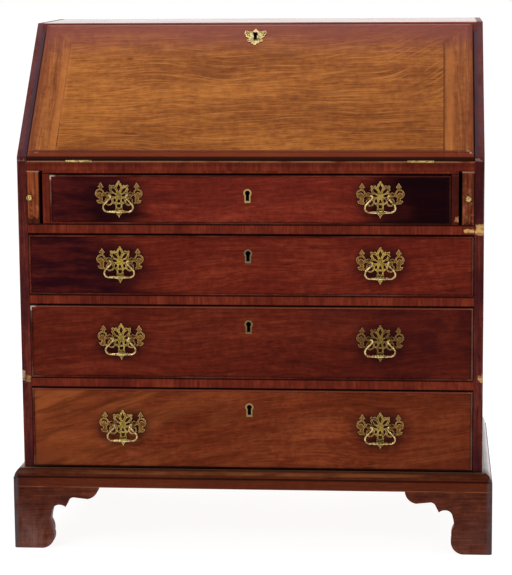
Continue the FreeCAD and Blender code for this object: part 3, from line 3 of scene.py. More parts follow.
import bpy
from mathutils import Euler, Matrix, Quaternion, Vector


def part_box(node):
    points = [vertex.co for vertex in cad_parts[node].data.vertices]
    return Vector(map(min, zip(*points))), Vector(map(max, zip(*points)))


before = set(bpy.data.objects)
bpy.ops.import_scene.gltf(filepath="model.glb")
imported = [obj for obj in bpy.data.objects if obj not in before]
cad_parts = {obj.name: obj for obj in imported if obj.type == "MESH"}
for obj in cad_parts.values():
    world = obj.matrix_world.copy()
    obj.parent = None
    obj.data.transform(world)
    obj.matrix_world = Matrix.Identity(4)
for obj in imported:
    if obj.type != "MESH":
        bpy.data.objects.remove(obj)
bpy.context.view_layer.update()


# The carcase sides: wide mahogany boards, grain upright, dovetailed to the top and housed for the rails.
# Only their front edges face the room. They are dark with wax and handling, and chipped at the rails.
class Shade:
    """One output of a material's nodes. Arithmetic on it adds Math nodes."""

    def __init__(self, tree, socket=None):
        self.tree = tree
        self.socket = socket

    def add(self, kind, settings, sockets, output=0):
        """Adds a node, with its settings first and then its values and links."""
        made = self.tree.nodes.new("ShaderNode" + kind)
        for name, value in settings.items():
            if name == "stops":
                while len(made.color_ramp.elements) < len(value):
                    made.color_ramp.elements.new(1)
                for stop, (place, colour) in zip(made.color_ramp.elements, value):
                    stop.position = place
                    stop.color = colour
            else:
                setattr(made, name, value)
        for name, value in sockets.items():
            if isinstance(value, Shade):
                self.tree.links.new(value.socket, made.inputs[name])
            else:
                made.inputs[name].default_value = value
        return Shade(self.tree, made.outputs[output])

    def maths(self, operation, *values):
        return self.add("Math", {"operation": operation}, dict(enumerate(values)))

    def vector(self, operation, *values, output=0):
        return self.add("VectorMath", {"operation": operation}, dict(enumerate(values)), output)

    def __add__(self, other):
        return self.maths("ADD", self, other)

    def __radd__(self, other):
        return self.maths("ADD", other, self)

    def __sub__(self, other):
        return self.maths("SUBTRACT", self, other)

    def __rsub__(self, other):
        return self.maths("SUBTRACT", other, self)

    def __mul__(self, other):
        return self.maths("MULTIPLY", self, other)

    def __rmul__(self, other):
        return self.maths("MULTIPLY", other, self)

    def size(self):
        return self.maths("ABSOLUTE", self)

    def most(self, other):
        return self.maths("MAXIMUM", self, other)

    def reach(self, other):
        """Distance from a point, out of the distances to it in two directions."""
        return self.maths("SQRT", self * self + other * other)

    def rise(self, low, high):
        """0 below low and 1 above high, smoothly; the other way round if low is the greater."""
        sockets = {"Value": self, "From Min": low, "From Max": high}
        return self.add("MapRange", {"interpolation_type": "SMOOTHSTEP"}, sockets)

    def between(self, low, high, soft):
        """1 from low to high, with soft ends."""
        return self.rise(low - soft, low + soft) * self.rise(high + soft, high - soft)

    def blend(self, first, second):
        """From the first colour to the second as this goes from 0 to 1."""
        return self.add("Mix", {"data_type": "RGBA"}, {0: self, 6: first, 7: second}, output=2)

    def toned(self, places, tones):
        """From the first tone to the last as this goes up, each tone at its place from 0 to 1."""
        return self.add("ValToRGB", {"stops": list(zip(places, tones))}, {0: self})

    def moved(self, x, y, z):
        """This position moved along."""
        return self.vector("ADD", self, (x, y, z))

    def stretched(self, x, y, z):
        """This position with each axis scaled."""
        return self.vector("MULTIPLY", self, (x, y, z))

    def drawn(self, grain, squeeze):
        """This position squeezed along the grain, so that noise on it comes out long that way."""
        return self.stretched(*(squeeze if axis == grain else 1 for axis in "xyz"))

    def turned(self, axis, angle):
        """This position turned about X, Y or Z."""
        return self.add("VectorRotate", {"rotation_type": axis + "_AXIS"}, {"Vector": self, "Angle": angle})

    def noise(self, scale, detail=2.0, roughness=0.5, output=0):
        """Noise from 0 to 1, with about this many lumps to the metre."""
        sockets = {"Vector": self, "Scale": scale, "Detail": detail, "Roughness": roughness}
        return self.add("TexNoise", {}, sockets, output)

    def swayed(self, x, y, z):
        """This position pushed about by a slow drift, so far at most along each axis."""
        drift = self.noise(3.5, detail=1, output="Color")
        return self.vector("MULTIPLY_ADD", drift, (x, y, z), self)

    def axes(self, wanted="XYZ"):
        """The coordinates of this position that are wanted."""
        outputs = self.add("SeparateXYZ", {}, {0: self}).socket.node.outputs
        return [Shade(self.tree, outputs[name]) for name in wanted]


def tone(red, green, blue):
    """A colour seen on screen, 0 to 255, as light."""
    def light(value):
        value = value / 255
        return value / 12.92 if value <= 0.04045 else ((value + 0.055) / 1.055) ** 2.4
    return (light(red), light(green), light(blue), 1.0)


def place_on(material):
    """The position on a piece as it stands closed, in metres."""
    return Shade(material.node_tree).add("TexCoord", {}, {}, output="Object")


def finish_of(name):
    """A new finish: its material, its shader, and the position on the piece."""
    material = bpy.data.materials.new(name)
    material.use_nodes = True
    return material, material.node_tree.nodes["Principled BSDF"], place_on(material)


def into(shader, name, value):
    """Links a value to one of a shader's sockets."""
    value.tree.links.new(value.socket, shader.inputs[name])


def emboss(shader, height, strength, depth):
    """Gives a finish its fine relief."""
    bump = height.add("Bump", {}, {"Strength": strength, "Distance": depth, "Height": height})
    into(shader, "Normal", bump)


# Along the grain of a board ribbons are drawn out a little, streaks and pores a lot
RIBBON_SQUEEZE = 0.16
STREAK_SQUEEZE = 0.045
STRAIGHT = ("Y", 0.0)


def figure(place, grain, seed, lean=STRAIGHT, sway=0.03):
    """Ribbons and streaks of one board together, about 0 to 1, and its fine lines and pores."""
    board = place.moved(seed * 1.7, seed * 2.3, seed * 3.1).swayed(sway, sway, sway).turned(*lean)
    along = board.drawn(grain, STREAK_SQUEEZE)
    ribbons = board.drawn(grain, RIBBON_SQUEEZE).noise(15)
    streaks = along.noise(90, detail=3, roughness=0.6)
    lines = along.noise(330)
    pores = along.noise(1100, detail=1)
    mottle = place.noise(75, detail=3, roughness=0.6)
    body = 0.5
    for layer, share in ((ribbons, 0.65), (streaks, 0.5), (lines, 0.7), (mottle, 0.55)):
        body = body + (layer - 0.5) * share
    return body, lines, pores


# Light caught in the polish: a thin reddish gloss, so that the wood stays deep
GLOSS_LEVEL = 0.06
GLOSS_TINT = (1.0, 0.45, 0.35, 1.0)
FLECK = tone(26, 7, 5)
POLISHED_PLACES = (0.2, 0.5, 0.8)


def mahogany(name, grain, tones, seed, gloss=0.3, lean=STRAIGHT, sway=0.03, clouds=0.35, marks=()):
    """Polished mahogany in its dark, middle and light tones; each mark lays wear or stain over them."""
    material, shader, place = finish_of(name)
    body, lines, pores = figure(place, grain, seed, lean, sway)
    cloud = place.noise(4.5, detail=1)
    colour = (body + (cloud - 0.5) * clouds).toned(POLISHED_PLACES, tones)
    flecks = place.drawn(grain, RIBBON_SQUEEZE).noise(120, detail=1)
    colour = (flecks.rise(0.7, 0.78) * 0.45).blend(colour, FLECK)
    colour = (pores.rise(0.58, 0.7) * 0.35).blend(colour, FLECK)
    for mark in marks:
        colour = mark(place, colour)
    into(shader, "Base Color", colour)
    rubbed = place.noise(14, detail=3)
    into(shader, "Roughness", gloss + rubbed.rise(0.35, 0.75) * 0.12)
    shader.inputs["Specular IOR Level"].default_value = GLOSS_LEVEL
    shader.inputs["Specular Tint"].default_value = GLOSS_TINT
    emboss(shader, lines * 0.4 - pores.rise(0.55, 0.75), 0.1, 0.0004)
    return material


# How far edges are eased: on boards, on fronts and plates, on filed brass, and none where solids touch
EASED = 0.0007
FINELY_EASED = 0.0004
FILED = 0.0003
UNEASED = 0
SAME_POINT = 0.00001
SHARP_ANGLE = math.radians(50)


def dress(material, *names, soften=EASED):
    """Gives CAD pieces their finish, and eases their sharp edges."""
    for name in names:
        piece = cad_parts[name]
        piece.data.materials.clear()
        piece.data.materials.append(material)
        if soften:
            weld = piece.modifiers.new("joined_edges", "WELD")
            weld.merge_threshold = SAME_POINT
            ease = piece.modifiers.new("eased_edges", "BEVEL")
            ease.width = soften
            ease.segments = 2
            ease.limit_method = "ANGLE"
            ease.angle_limit = SHARP_ANGLE
            smooth = piece.modifiers.new("even_faces", "WEIGHTED_NORMAL")
            smooth.keep_sharp = True


case_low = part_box("side_left")[0]
CASE_FRONT = case_low.y
CASE_EDGE = -case_low.x
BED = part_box("writing_bed")[1].z
SLOPE = math.atan2(0.252, 0.245)


def at_front(y):
    """1 on the front edges of the case, fading out behind them."""
    return y.rise(CASE_FRONT + 0.006, CASE_FRONT + 0.001)


def out_of_slope(y, z):
    """Distance out of the slope, from the plane of the hinges."""
    return (z - BED) * math.cos(SLOPE) - (y - CASE_FRONT) * math.sin(SLOPE)


CHIP_RIM = 0.0012
RAW_WOOD = tone(208, 162, 98)
TORN_FIBRE = tone(110, 66, 38)


def chipped(place, colour, chips):
    """Lays breaks in the front of the case over a colour: pale bare wood with torn darker fibres."""
    x, y, z = place.axes()
    near = y.rise(CASE_FRONT + 0.016, CASE_FRONT + 0.008)
    torn = place.noise(170, detail=3) - 0.5
    fibres = place.drawn("x", 0.3).noise(260, detail=3).rise(0.43, 0.6)
    for x_span, z_span, ragged, wood in chips:
        rough = torn * ragged
        broken = (x + rough).between(*x_span, CHIP_RIM) * (z + rough).between(*z_span, CHIP_RIM) * near
        colour = broken.blend(colour, (fibres * 0.65).blend(wood, TORN_FIBRE))
    return colour


# Each break: its span to the right, its span in height, how ragged it is, and its bare wood
SIDE_CHIPS = (
    ((0.4405, 0.46), (0.635, 0.656), 0.014, RAW_WOOD),
    ((-0.46, -0.4515), (0.338, 0.36), 0.016, tone(226, 180, 146)),
    ((-0.4495, -0.4405), (0.335, 0.349), 0.014, tone(158, 118, 74)),
    ((0.4475, 0.46), (0.343, 0.357), 0.014, tone(222, 166, 106)),
)
SLOPE_FOOT_HIGHLIGHT = tone(176, 146, 132)
RIGHT_WAX = tone(44, 12, 22)
WAX_PATCH = tone(42, 11, 22)
SLOPE_SHEEN = tone(84, 50, 54)
SLOPE_SHADE = tone(46, 40, 52)
PALE_ARRIS = tone(150, 108, 100)


# In this and the other marks, places are in metres, and the last factor is how strongly a colour shows
def side_marks(place, colour):
    """Chips at the first and third rails, a painted highlight where the slope starts, dark wax, a grey
    painted sheen and painted shade down the slope, and a pale outer arris.
    """
    x, y, z = place.axes()
    front = at_front(y)
    colour = chipped(place, colour, SIDE_CHIPS)
    # A pale highlight painted on the worn corner where the slope starts
    worn_glint = (z - BED - 0.003).size().rise(0.0045, 0.0015) * y.rise(CASE_FRONT + 0.014, CASE_FRONT + 0.006)
    colour = (worn_glint * place.noise(160, detail=3).rise(0.46, 0.6) * 0.6).blend(colour, SLOPE_FOOT_HIGHLIGHT)
    waxy = x.rise(0, 0.1) * z.rise(0.64, 0.67) * z.rise(BED + 0.012, BED) * front
    colour = (waxy * 0.5).blend(colour, RIGHT_WAX)
    patches = place.drawn("z", 0.35).noise(24, detail=3).rise(0.44, 0.62)
    colour = (patches * front * 0.5).blend(colour, WAX_PATCH)
    # A grey sheen painted down the slope, with painted shade on its inner half beside the fall
    sloped = out_of_slope(y, z).rise(0.0026, 0.0046) * z.rise(BED + 0.005, BED + 0.012)
    wear_and_sheen = place.stretched(1, 0.3, 0.3).noise(60, detail=3)
    colour = (sloped * wear_and_sheen.rise(0.35, 0.65) * 0.7).blend(colour, SLOPE_SHEEN)
    inside = x.size().rise(0.449, 0.4435)
    colour = (sloped * inside * 0.65).blend(colour, SLOPE_SHADE)
    arris = x.size().rise(CASE_EDGE - 0.0026, CASE_EDGE - 0.0008) * front
    rubbed = place.drawn("z", 0.2).noise(60, detail=3).rise(0.42, 0.62)
    return (arris * rubbed * 0.5).blend(colour, PALE_ARRIS)


SIDE_TONES = (tone(56, 20, 19), tone(80, 31, 27), tone(110, 48, 38))
side_wood = mahogany("side_mahogany", "z", SIDE_TONES, 1.0, clouds=0.2, marks=(side_marks,))
dress(side_wood, "side_left", "side_right")

# The top board: one mahogany plank with its grain across, dovetailed down onto the sides.
# Its front edge is planed to the slope and is what the closed fall rests against.
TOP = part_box("top_board")[1].z
TOP_TONES = (tone(84, 34, 22), tone(116, 54, 34), tone(146, 78, 48))
EDGE_WAX = tone(60, 20, 18)
WAX_WEIGHT = 0.75
WAX_ROUGHNESS = 0.12


def waxed(material, where):
    """Lays clear wax over part of a finish; where takes the position and gives 0 to 1."""
    shader = material.node_tree.nodes["Principled BSDF"]
    into(shader, "Coat Weight", where(place_on(material)) * WAX_WEIGHT)
    shader.inputs["Coat Roughness"].default_value = WAX_ROUGHNESS


def top_marks(place, colour):
    """The edges, dark from old wax where the fall shuts against them."""
    z = place.axes("Z")[0]
    return (z.rise(TOP - 0.001, TOP - 0.003) * 0.85).blend(colour, EDGE_WAX)


def top_face(place):
    """1 on the upper face of the board."""
    return place.axes("Z")[0].rise(TOP - 0.0009, TOP - 0.0003)


top_wood = mahogany("top_mahogany", "x", TOP_TONES, 2.0, gloss=0.2, marks=(top_marks,))
waxed(top_wood, top_face)
dress(top_wood, "top_board", soften=FINELY_EASED)

# The writing bed and the rails between the drawers, faced with short lengths of cross-grained mahogany.
# Their arrises are rubbed, the bed's with a painted highlight along it, and the right end of the first rail
# has lost a strip of its facing.
# Near black, painted as shadow in the gaps round the drawers, under the fall, under the drawers on the base
# and in the quirks
PAINTED_SHADOW = tone(14, 4, 4)
DARK_FACING = tone(60, 18, 14)
PALE_FACING = tone(126, 54, 32)
LOPER_SHADE = tone(36, 11, 12)
drawer_spans = [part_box(f"drawer_{number}_beads") for number in (1, 2, 3, 4)]
RAIL_CHIPS = (
    ((0.4185, 0.442), (0.6392, 0.6458), 0.006, RAW_WOOD),
    ((0.4005, 0.4115), (0.661, 0.669), 0.011, tone(178, 116, 74)),
)


def rail_marks(place, colour):
    """Facing that changes from one length to the next, painted shadow along the drawers and beside the
    right loper, and the lost strip.
    """
    x, z = place.axes("XZ")
    length = place.stretched(1, 0, 0).noise(9, detail=3, roughness=0.7)
    colour = (length.rise(0.5, 0.68) * 0.35).blend(colour, DARK_FACING)
    colour = (length.rise(0.5, 0.34) * 0.3).blend(colour, PALE_FACING)
    # Painted shadow in the gaps under and over each drawer
    for low, high in drawer_spans:
        below = (z - low.z + 0.0014).size().rise(0.0022, 0.0012)
        above = (z - high.z - 0.003).size().rise(0.0014, 0.0007)
        colour = (below.most(above) * 0.85).blend(colour, PAINTED_SHADOW)
    first_low, first_high = drawer_spans[0]
    shadow = x.between(0.386, 0.434, 0.003) * z.between(first_low.z, first_high.z, 0.004)
    colour = (shadow * 0.7).blend(colour, LOPER_SHADE)
    return chipped(place, colour, RAIL_CHIPS)


BED_TONES = (tone(78, 26, 16), tone(106, 42, 25), tone(134, 62, 37))
RUBBED_GOLD_HIGHLIGHT = tone(150, 110, 76)


def bed_marks(place, colour):
    """Behind its facing the bed is a plank with its grain across; painted shadow lies under the fall, and
    its worn front edge has a dull gold painted highlight.
    """
    y, z = place.axes("YZ")
    plank = figure(place, "x", 3.7)[0].toned(POLISHED_PLACES, BED_TONES)
    behind = y.rise(CASE_FRONT + 0.006, CASE_FRONT + 0.008)
    colour = behind.blend(colour, plank)
    front = at_front(y)
    # Painted shadow under the lip of the fall
    colour = (z.between(BED - 0.011, BED - 0.003, 0.003) * front * 0.3).blend(colour, PAINTED_SHADOW)
    # A dull gold highlight painted along the worn front arris
    edge = z.rise(BED - 0.0035, BED - 0.0008) * front
    rubbed = place.drawn("x", 0.25).noise(70, detail=3).rise(0.26, 0.5)
    return (edge * rubbed * 0.8).blend(colour, RUBBED_GOLD_HIGHLIGHT)


RAIL_TONES = (tone(78, 25, 17), tone(102, 36, 23), tone(130, 54, 33))
rail_wood = mahogany("rail_mahogany", "z", RAIL_TONES, 3.0, marks=(rail_marks,))
bed_wood = mahogany("bed_mahogany", "z", RAIL_TONES, 3.4, marks=(rail_marks, bed_marks))
dress(rail_wood, "drawer_rails", "loper_partitions")
dress(bed_wood, "writing_bed")

# The hidden structure: pine dustboards, bottom and back, and oak stops.
# It was left as it came from the plane, unpolished, and has turned brown and dusty.
BARE_PLACES = (0.25, 0.5, 0.75)
BARE_GLOSS = 0.3
OPEN_PORE = tone(62, 40, 22)
DUST = tone(120, 98, 74)


def bare_wood(name, grain, tones, seed):
    """Unpolished softwood or oak, with open grain and dust."""
    material, shader, place = finish_of(name)
    body, lines, pores = figure(place, grain, seed)
    colour = body.toned(BARE_PLACES, tones)
    colour = (pores.rise(0.56, 0.7) * 0.4).blend(colour, OPEN_PORE)
    dust = place.noise(6, detail=4)
    colour = (dust.rise(0.5, 0.8) * 0.3).blend(colour, DUST)
    into(shader, "Base Color", colour)
    into(shader, "Roughness", 0.6 + dust * 0.25)
    shader.inputs["Specular IOR Level"].default_value = BARE_GLOSS
    emboss(shader, lines * 0.6 - pores * 0.5, 0.3, 0.0006)
    return material


PINE_TONES = (tone(104, 66, 36), tone(138, 94, 54), tone(170, 124, 76))
OAK_TONES = (tone(104, 74, 42), tone(138, 102, 60), tone(168, 130, 82))
pine_across = bare_wood("pine_across", "x", PINE_TONES, 4.0)
pine_upright = bare_wood("pine_upright", "z", PINE_TONES, 5.0)
oak_across = bare_wood("oak_across", "x", OAK_TONES, 6.0)
dress(pine_across, "bottom_board", "dustboards")
dress(pine_upright, "back_boards")
dress(oak_across, "drawer_stops")

# The base moulding: a quarter round over a plain band, mitred round the front corners.
# Its ledge is olive-grey, a highlight is painted along the round, and a grey reflection is painted on its
# front corners.
base_low, base_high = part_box("base_moulding")
BASE_EDGE = base_high.x
BASE_FRONT = base_low.y
LEDGE = base_high.z
BAND_LOW = base_low.z
BAND_TOP = BAND_LOW + 0.0235
CORNER_REFLECTION = tone(76, 68, 70)
OLIVE_LEDGE = tone(72, 64, 46)
PALE_LEDGE_END = tone(140, 122, 78)
BAND_RED = tone(104, 44, 25)
CROWN_HIGHLIGHT = tone(140, 82, 48)
ROUND_GREY = tone(88, 74, 74)
BAND_PLUM = tone(50, 22, 28)
DARK_BAND_LINE = tone(24, 9, 6)
PALE_JOINT = tone(140, 92, 60)


def corner_reflection(place, colour):
    """A grey reflection painted in patches on the rounded front corners of the base and its feet."""
    x, y = place.axes("XY")
    out = (x.size() - BASE_EDGE + BASE_FRONT - y).rise(-0.013, -0.0075)
    reflection_patches = place.drawn("z", 0.4).noise(70, detail=3).rise(0.3, 0.6)
    # The grey is a painted reflection on the rounded corners
    return (out * (0.3 + reflection_patches * 0.6)).blend(colour, CORNER_REFLECTION)


def base_marks(place, colour):
    """An olive-grey ledge, painted shadow under the drawers, a painted highlight on the round, a dark line
    over the band and a pale joint over the feet.
    """
    x, y, z = place.axes()
    patchy = place.drawn("x", 0.3).noise(50, detail=3).rise(0.3, 0.6)
    ledge = z.rise(LEDGE - 0.0015, LEDGE - 0.0002)
    colour = (ledge * 0.75).blend(colour, OLIVE_LEDGE)
    left_end = x.rise(-0.42, -0.465)
    colour = (ledge * left_end * 0.7).blend(colour, PALE_LEDGE_END)
    colour = (z.rise(BAND_TOP + 0.001, BAND_TOP - 0.001) * 0.4).blend(colour, BAND_RED)
    inner = x.size().rise(CASE_EDGE, CASE_EDGE - 0.004)
    # Painted shadow at the back of the ledge, under the drawers
    under = ledge * inner * y.rise(CASE_FRONT - 0.0065, CASE_FRONT - 0.0045)
    colour = (under * 0.95).blend(colour, PAINTED_SHADOW)
    # A highlight painted along the round, strongest in the middle and broken into patches
    crown = (z - BAND_TOP - 0.0065).size().rise(0.005, 0.001)
    wear_and_sheen = x.size().rise(0.45, 0.25) * 0.45 + 0.12
    colour = (crown * wear_and_sheen * (0.2 + patchy * 0.8)).blend(colour, CROWN_HIGHLIGHT)
    colour = (left_end * z.rise(BAND_TOP, BAND_TOP + 0.003) * patchy * 0.6).blend(colour, ROUND_GREY)
    colour = (left_end * z.rise(BAND_TOP, BAND_TOP - 0.003) * 0.5).blend(colour, BAND_PLUM)
    band_line = (z - BAND_TOP + 0.003).size().rise(0.0026, 0.001)
    colour = (band_line * 0.8).blend(colour, DARK_BAND_LINE)
    joint = z.rise(BAND_LOW + 0.0024, BAND_LOW + 0.0006)
    return (joint * patchy * 0.6).blend(colour, PALE_JOINT)


def base_ends(place):
    """1 on the returns of the base along the sides, behind its front corners."""
    x, y = place.axes("XY")
    return x.size().rise(CASE_EDGE - 0.001, CASE_EDGE + 0.001) * y.rise(-0.255, -0.2)


BASE_TONES = (tone(46, 18, 10), tone(68, 28, 15), tone(94, 43, 24))
base_wood = mahogany("base_mahogany", "x", BASE_TONES, 7.0, marks=(base_marks, corner_reflection))
waxed(base_wood, base_ends)
dress(base_wood, "base_moulding", soften=UNEASED)

# The bracket feet: mahogany sawn to an outline of nibs and lobes, mitred and glued to the base.
# They have taken the knocks of the floor, and are greyer and duller low down.
FOOT_GREY = tone(140, 108, 104)
FOOT_SCRATCH = tone(40, 20, 16)


def foot_marks(place, colour):
    """Grey wear that thickens towards the floor, with fine upright scratches."""
    x, z = place.axes("XZ")
    low = z.rise(0.115, 0.01)
    scuffs = place.drawn("z", 0.4).noise(45, detail=4, roughness=0.6)
    left = 0.3 + x.rise(0.2, -0.2) * 0.9
    colour = ((scuffs - 0.34) * low * left * 1.2).most(0.0).blend(colour, FOOT_GREY)
    scratches = place.drawn("z", 0.08).noise(240, detail=2)
    return (scratches.rise(0.62, 0.72) * 0.35 * low).blend(colour, FOOT_SCRATCH)


FOOT_TONES = (tone(56, 22, 15), tone(82, 38, 26), tone(112, 58, 38))
foot_wood = mahogany("foot_mahogany", "x", FOOT_TONES, 8.0, gloss=0.38, marks=(foot_marks, corner_reflection))
dress(foot_wood, "front_feet", "rear_feet", soften=UNEASED)

# The brass hinges of the fall: leaves let into the bed and the fall, with the knuckles showing below it.
# Like all the brasses they are cast and filed and brown in the hollows, and a highlight is painted along
# their edges.
RIM_HIGHLIGHT = tone(255, 220, 144)
RIM = 0.0013


def brass(name, tones, gloss=0.3, rough_cast=0.25, tints=(), marks=()):
    """Old brass, stained dark and bright; tints lie under the highlight painted on its edges, and marks
    over it.
    """
    material, shader, place = finish_of(name)
    stain = place.noise(110, detail=4, roughness=0.6)
    specks = place.noise(420, detail=2)
    colour = (stain * 0.5 + specks * 0.5).rise(0.4, 0.58).blend(*tones)
    for tint in tints:
        colour = tint(place, colour)
    # A highlight painted along the edges, where the eased normal turns away from the face
    eased = place.add("Bevel", {"samples": 6}, {"Radius": RIM})
    face = place.add("NewGeometry", {}, {}, output="Normal")
    rim = eased.vector("DOT_PRODUCT", eased, face, output="Value").rise(0.995, 0.88)
    colour = (rim * 0.9).blend(colour, RIM_HIGHLIGHT)
    for mark in marks:
        colour = mark(place, colour)
    into(shader, "Base Color", colour)
    into(shader, "Roughness", gloss + stain.rise(0.65, 0.35) * 0.2)
    shader.inputs["Metallic"].default_value = 1.0
    emboss(shader, stain * 0.7 + specks * 0.3, rough_cast, 0.0009)
    return material


DULL_LEAF = tone(84, 62, 34)


def leaf_marks(place, colour):
    """Leaves gone dull away from their knuckles, where nothing rubs them."""
    y, z = place.axes("YZ")
    away = (y - CASE_FRONT).reach(z - BED)
    return (away.rise(0.004, 0.009) * 0.8).blend(colour, DULL_LEAF)


OLD_TONES = (tone(58, 42, 22), tone(104, 80, 46))
HINGE_TONES = (tone(140, 104, 54), tone(216, 186, 124))
old_brass = brass("old_brass", OLD_TONES, gloss=0.45)
hinge_brass = brass("hinge_brass", HINGE_TONES, gloss=0.45, marks=(leaf_marks,))
dress(hinge_brass, "bed_hinge_leaves", "fall_hinge_leaves", soften=FILED)
dress(old_brass, "fall_lock", "fall_lock_bolt", soften=FILED)

# The fall: a broad mahogany panel, its grain across, tongued into two end clamps mitred at the top.
# Light and polish have faded it to a golden brown with long streaks; a purplish sheen is painted on its
# top, and its lower lip is redder.
# Its keyhole is painted black, as shade in the hole, and painted shadow runs along its foot.
FALL_TOP = 0.347
CLAMP_JOINT = 0.3785
CLAMP_TOP = FALL_TOP - 0.058
SWEEP_START = 0.02
GOLD_LINE = tone(184, 118, 54)
DARK_LINE = tone(92, 46, 18)
BLOTCH = tone(90, 46, 18)
END_RED = tone(106, 48, 34)
PALE_STREAK = tone(176, 106, 48)


def up_the_slope(y, z):
    """Distance up the slope from the hinges of the fall."""
    return (y - CASE_FRONT) * math.cos(SLOPE) + (z - BED) * math.sin(SLOPE)


def fall_figure(place, colour):
    """Gold and dark lines that sweep up at the right, blotches, red ends, pale streaks by the clamps."""
    x, y, z = place.axes()
    up = up_the_slope(y, z)
    panel = x.size().rise(CLAMP_JOINT + 0.001, CLAMP_JOINT - 0.001)
    rightward = x.most(SWEEP_START) - SWEEP_START
    sweep = rightward * rightward * up.rise(0.06, 0.3) * 0.62
    board = place.add("CombineXYZ", {}, {0: x, 1: up - sweep, 2: 0.0}).swayed(0.0, 0.1, 0.0)
    gold = board.drawn("x", 0.03).noise(300, detail=3)
    colour = (gold.rise(0.53, 0.67) * panel * 0.42).blend(colour, GOLD_LINE)
    dark = board.drawn("x", 0.06).noise(170, detail=3)
    colour = (dark.rise(0.56, 0.72) * panel * 0.45).blend(colour, DARK_LINE)
    blotches = board.drawn("x", 0.25).noise(26, detail=3)
    colour = (blotches.rise(0.55, 0.72) * panel * 0.5).blend(colour, BLOTCH)
    colour = (x.size().rise(0.41, 0.436) * 0.45).blend(colour, END_RED)
    pale = (x + CLAMP_JOINT + 0.005).size().rise(0.013, 0.003)
    pale = pale.most((x - CLAMP_JOINT - 0.011).size().rise(0.012, 0.003))
    return (pale * up.rise(CLAMP_TOP, CLAMP_TOP - 0.02) * 0.4).blend(colour, PALE_STREAK)


SEAM = tone(40, 14, 8)


def clamp_joints(place, colour):
    """The seams of the clamps, butted below and mitred at the top, open where the wood has shrunk."""
    x, y, z = place.axes()
    up = up_the_slope(y, z)
    across = x.size() - CLAMP_JOINT
    butt = across.size().rise(0.0016, 0.0004) * up.rise(CLAMP_TOP + 0.0005, CLAMP_TOP - 0.0005)
    mitre = (across - up + CLAMP_TOP).size().rise(0.002, 0.0006)
    mitre = mitre * up.rise(CLAMP_TOP - 0.0005, CLAMP_TOP + 0.0005)
    shrunk = 0.3 + place.noise(60, detail=3).rise(0.45, 0.65) * up.rise(0.14, 0.05) * 0.5
    gap = shrunk.most(x.rise(-0.1, 0.1) * 0.85)
    return (butt.most(mitre * 0.6) * gap).blend(colour, SEAM)


LOCK = -0.003
KEYHOLE = FALL_TOP - 0.034
# Near black painted over the keyholes and round their rims, as shade in the holes
KEYHOLE_SHADE = tone(5, 3, 3)
TOP_SHEEN = tone(108, 54, 52)
LIP_RED = tone(112, 46, 32)
LIP_LINE = tone(62, 20, 8)
LIP_NICK = tone(190, 158, 138)


def key_shape(across, above):
    """1 on a keyhole and round its rim, where shade is painted, from distances to the middle of its round.
    """
    round_part = across.reach(above).rise(0.0054, 0.0046)
    slot = across.size().rise(0.0038, 0.003) * above.between(-0.0155, 0.0, 0.0006)
    return round_part.most(slot)


def fall_wear(place, colour):
    """A painted sheen on the top, a redder lower lip with a nicked line over it, the keyhole painted black
    as shade, and painted shadow along the hinges.
    """
    x, y, z = place.axes()
    up = up_the_slope(y, z)
    uneven = (place.drawn("x", 0.3).noise(24) - 0.5) * 0.03
    # A purplish sheen painted over the top of the fall
    colour = ((up + uneven).rise(0.24, 0.345) * 0.8).blend(colour, TOP_SHEEN)
    colour = (up.rise(0.0135, 0.0115) * 0.85).blend(colour, LIP_RED)
    colour = ((up - 0.0125).size().rise(0.0018, 0.0006) * 0.6).blend(colour, LIP_LINE)
    # Pale worn spots at the ends of the lip, with painted glints
    worn_glint = x.size().rise(0.4, 0.425) * (up - 0.0105).size().rise(0.0045, 0.001)
    colour = (worn_glint * place.noise(150, detail=3).rise(0.48, 0.62) * 0.6).blend(colour, LIP_NICK)
    # The keyhole painted black as shade
    colour = key_shape(x - LOCK, up - KEYHOLE).blend(colour, KEYHOLE_SHADE)
    # Painted shadow along the foot of the fall, over the hinges
    return (up.rise(0.0034, 0.0012) * 0.9).blend(colour, PAINTED_SHADOW)


PANEL_TONES = (tone(98, 49, 15), tone(129, 72, 26), tone(160, 98, 40))
CLAMP_TONES = (tone(92, 45, 18), tone(124, 68, 30), tone(154, 94, 46))
FALL_MARKS = (fall_figure, clamp_joints, fall_wear)
panel_cut = {"lean": ("Y", math.radians(3)), "sway": 0.02}
clamp_cut = {"lean": ("X", math.pi / 2 - SLOPE)}
panel_wood = mahogany("panel_mahogany", "x", PANEL_TONES, 9.0, marks=FALL_MARKS, **panel_cut)
clamp_wood = mahogany("clamp_mahogany", "z", CLAMP_TONES, 10.0, marks=FALL_MARKS, **clamp_cut)
dress(panel_wood, "fall_panel", soften=UNEASED)
dress(clamp_wood, "fall_clamps", soften=UNEASED)


# The escutcheon of the fall: a small scalloped cartouche of pale cast brass, pinned round the keyhole.
# Black is painted over its hole and round the rim, as shade in the hole.
def cartouche_marks(place, colour):
    """Painted shade in and round the keyhole."""
    x, y, z = place.axes()
    return key_shape(x - LOCK, up_the_slope(y, z) - KEYHOLE).blend(colour, KEYHOLE_SHADE)


CARTOUCHE_TONES = (tone(62, 48, 26), tone(134, 120, 82))
cartouche_brass = brass("cartouche_brass", CARTOUCHE_TONES, marks=(cartouche_marks,))
dress(cartouche_brass, "fall_escutcheon", soften=FINELY_EASED)

# The lopers: bars that draw out to carry the open fall, faced with mahogany, each with a turned brass knob.
# The facings are rubbed paler round the knobs, and the left one has faded more.
loper_low, loper_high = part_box("loper_left")
LOPER_MIDDLE = -(loper_low.x + loper_high.x) / 2
FADED = tone(158, 78, 42)
DARK_GRAIN = tone(60, 20, 10)
KNOB_WEAR = tone(176, 112, 76)
BURNT_EDGE = tone(22, 8, 7)
CREST_HIGHLIGHT = tone(186, 140, 118)


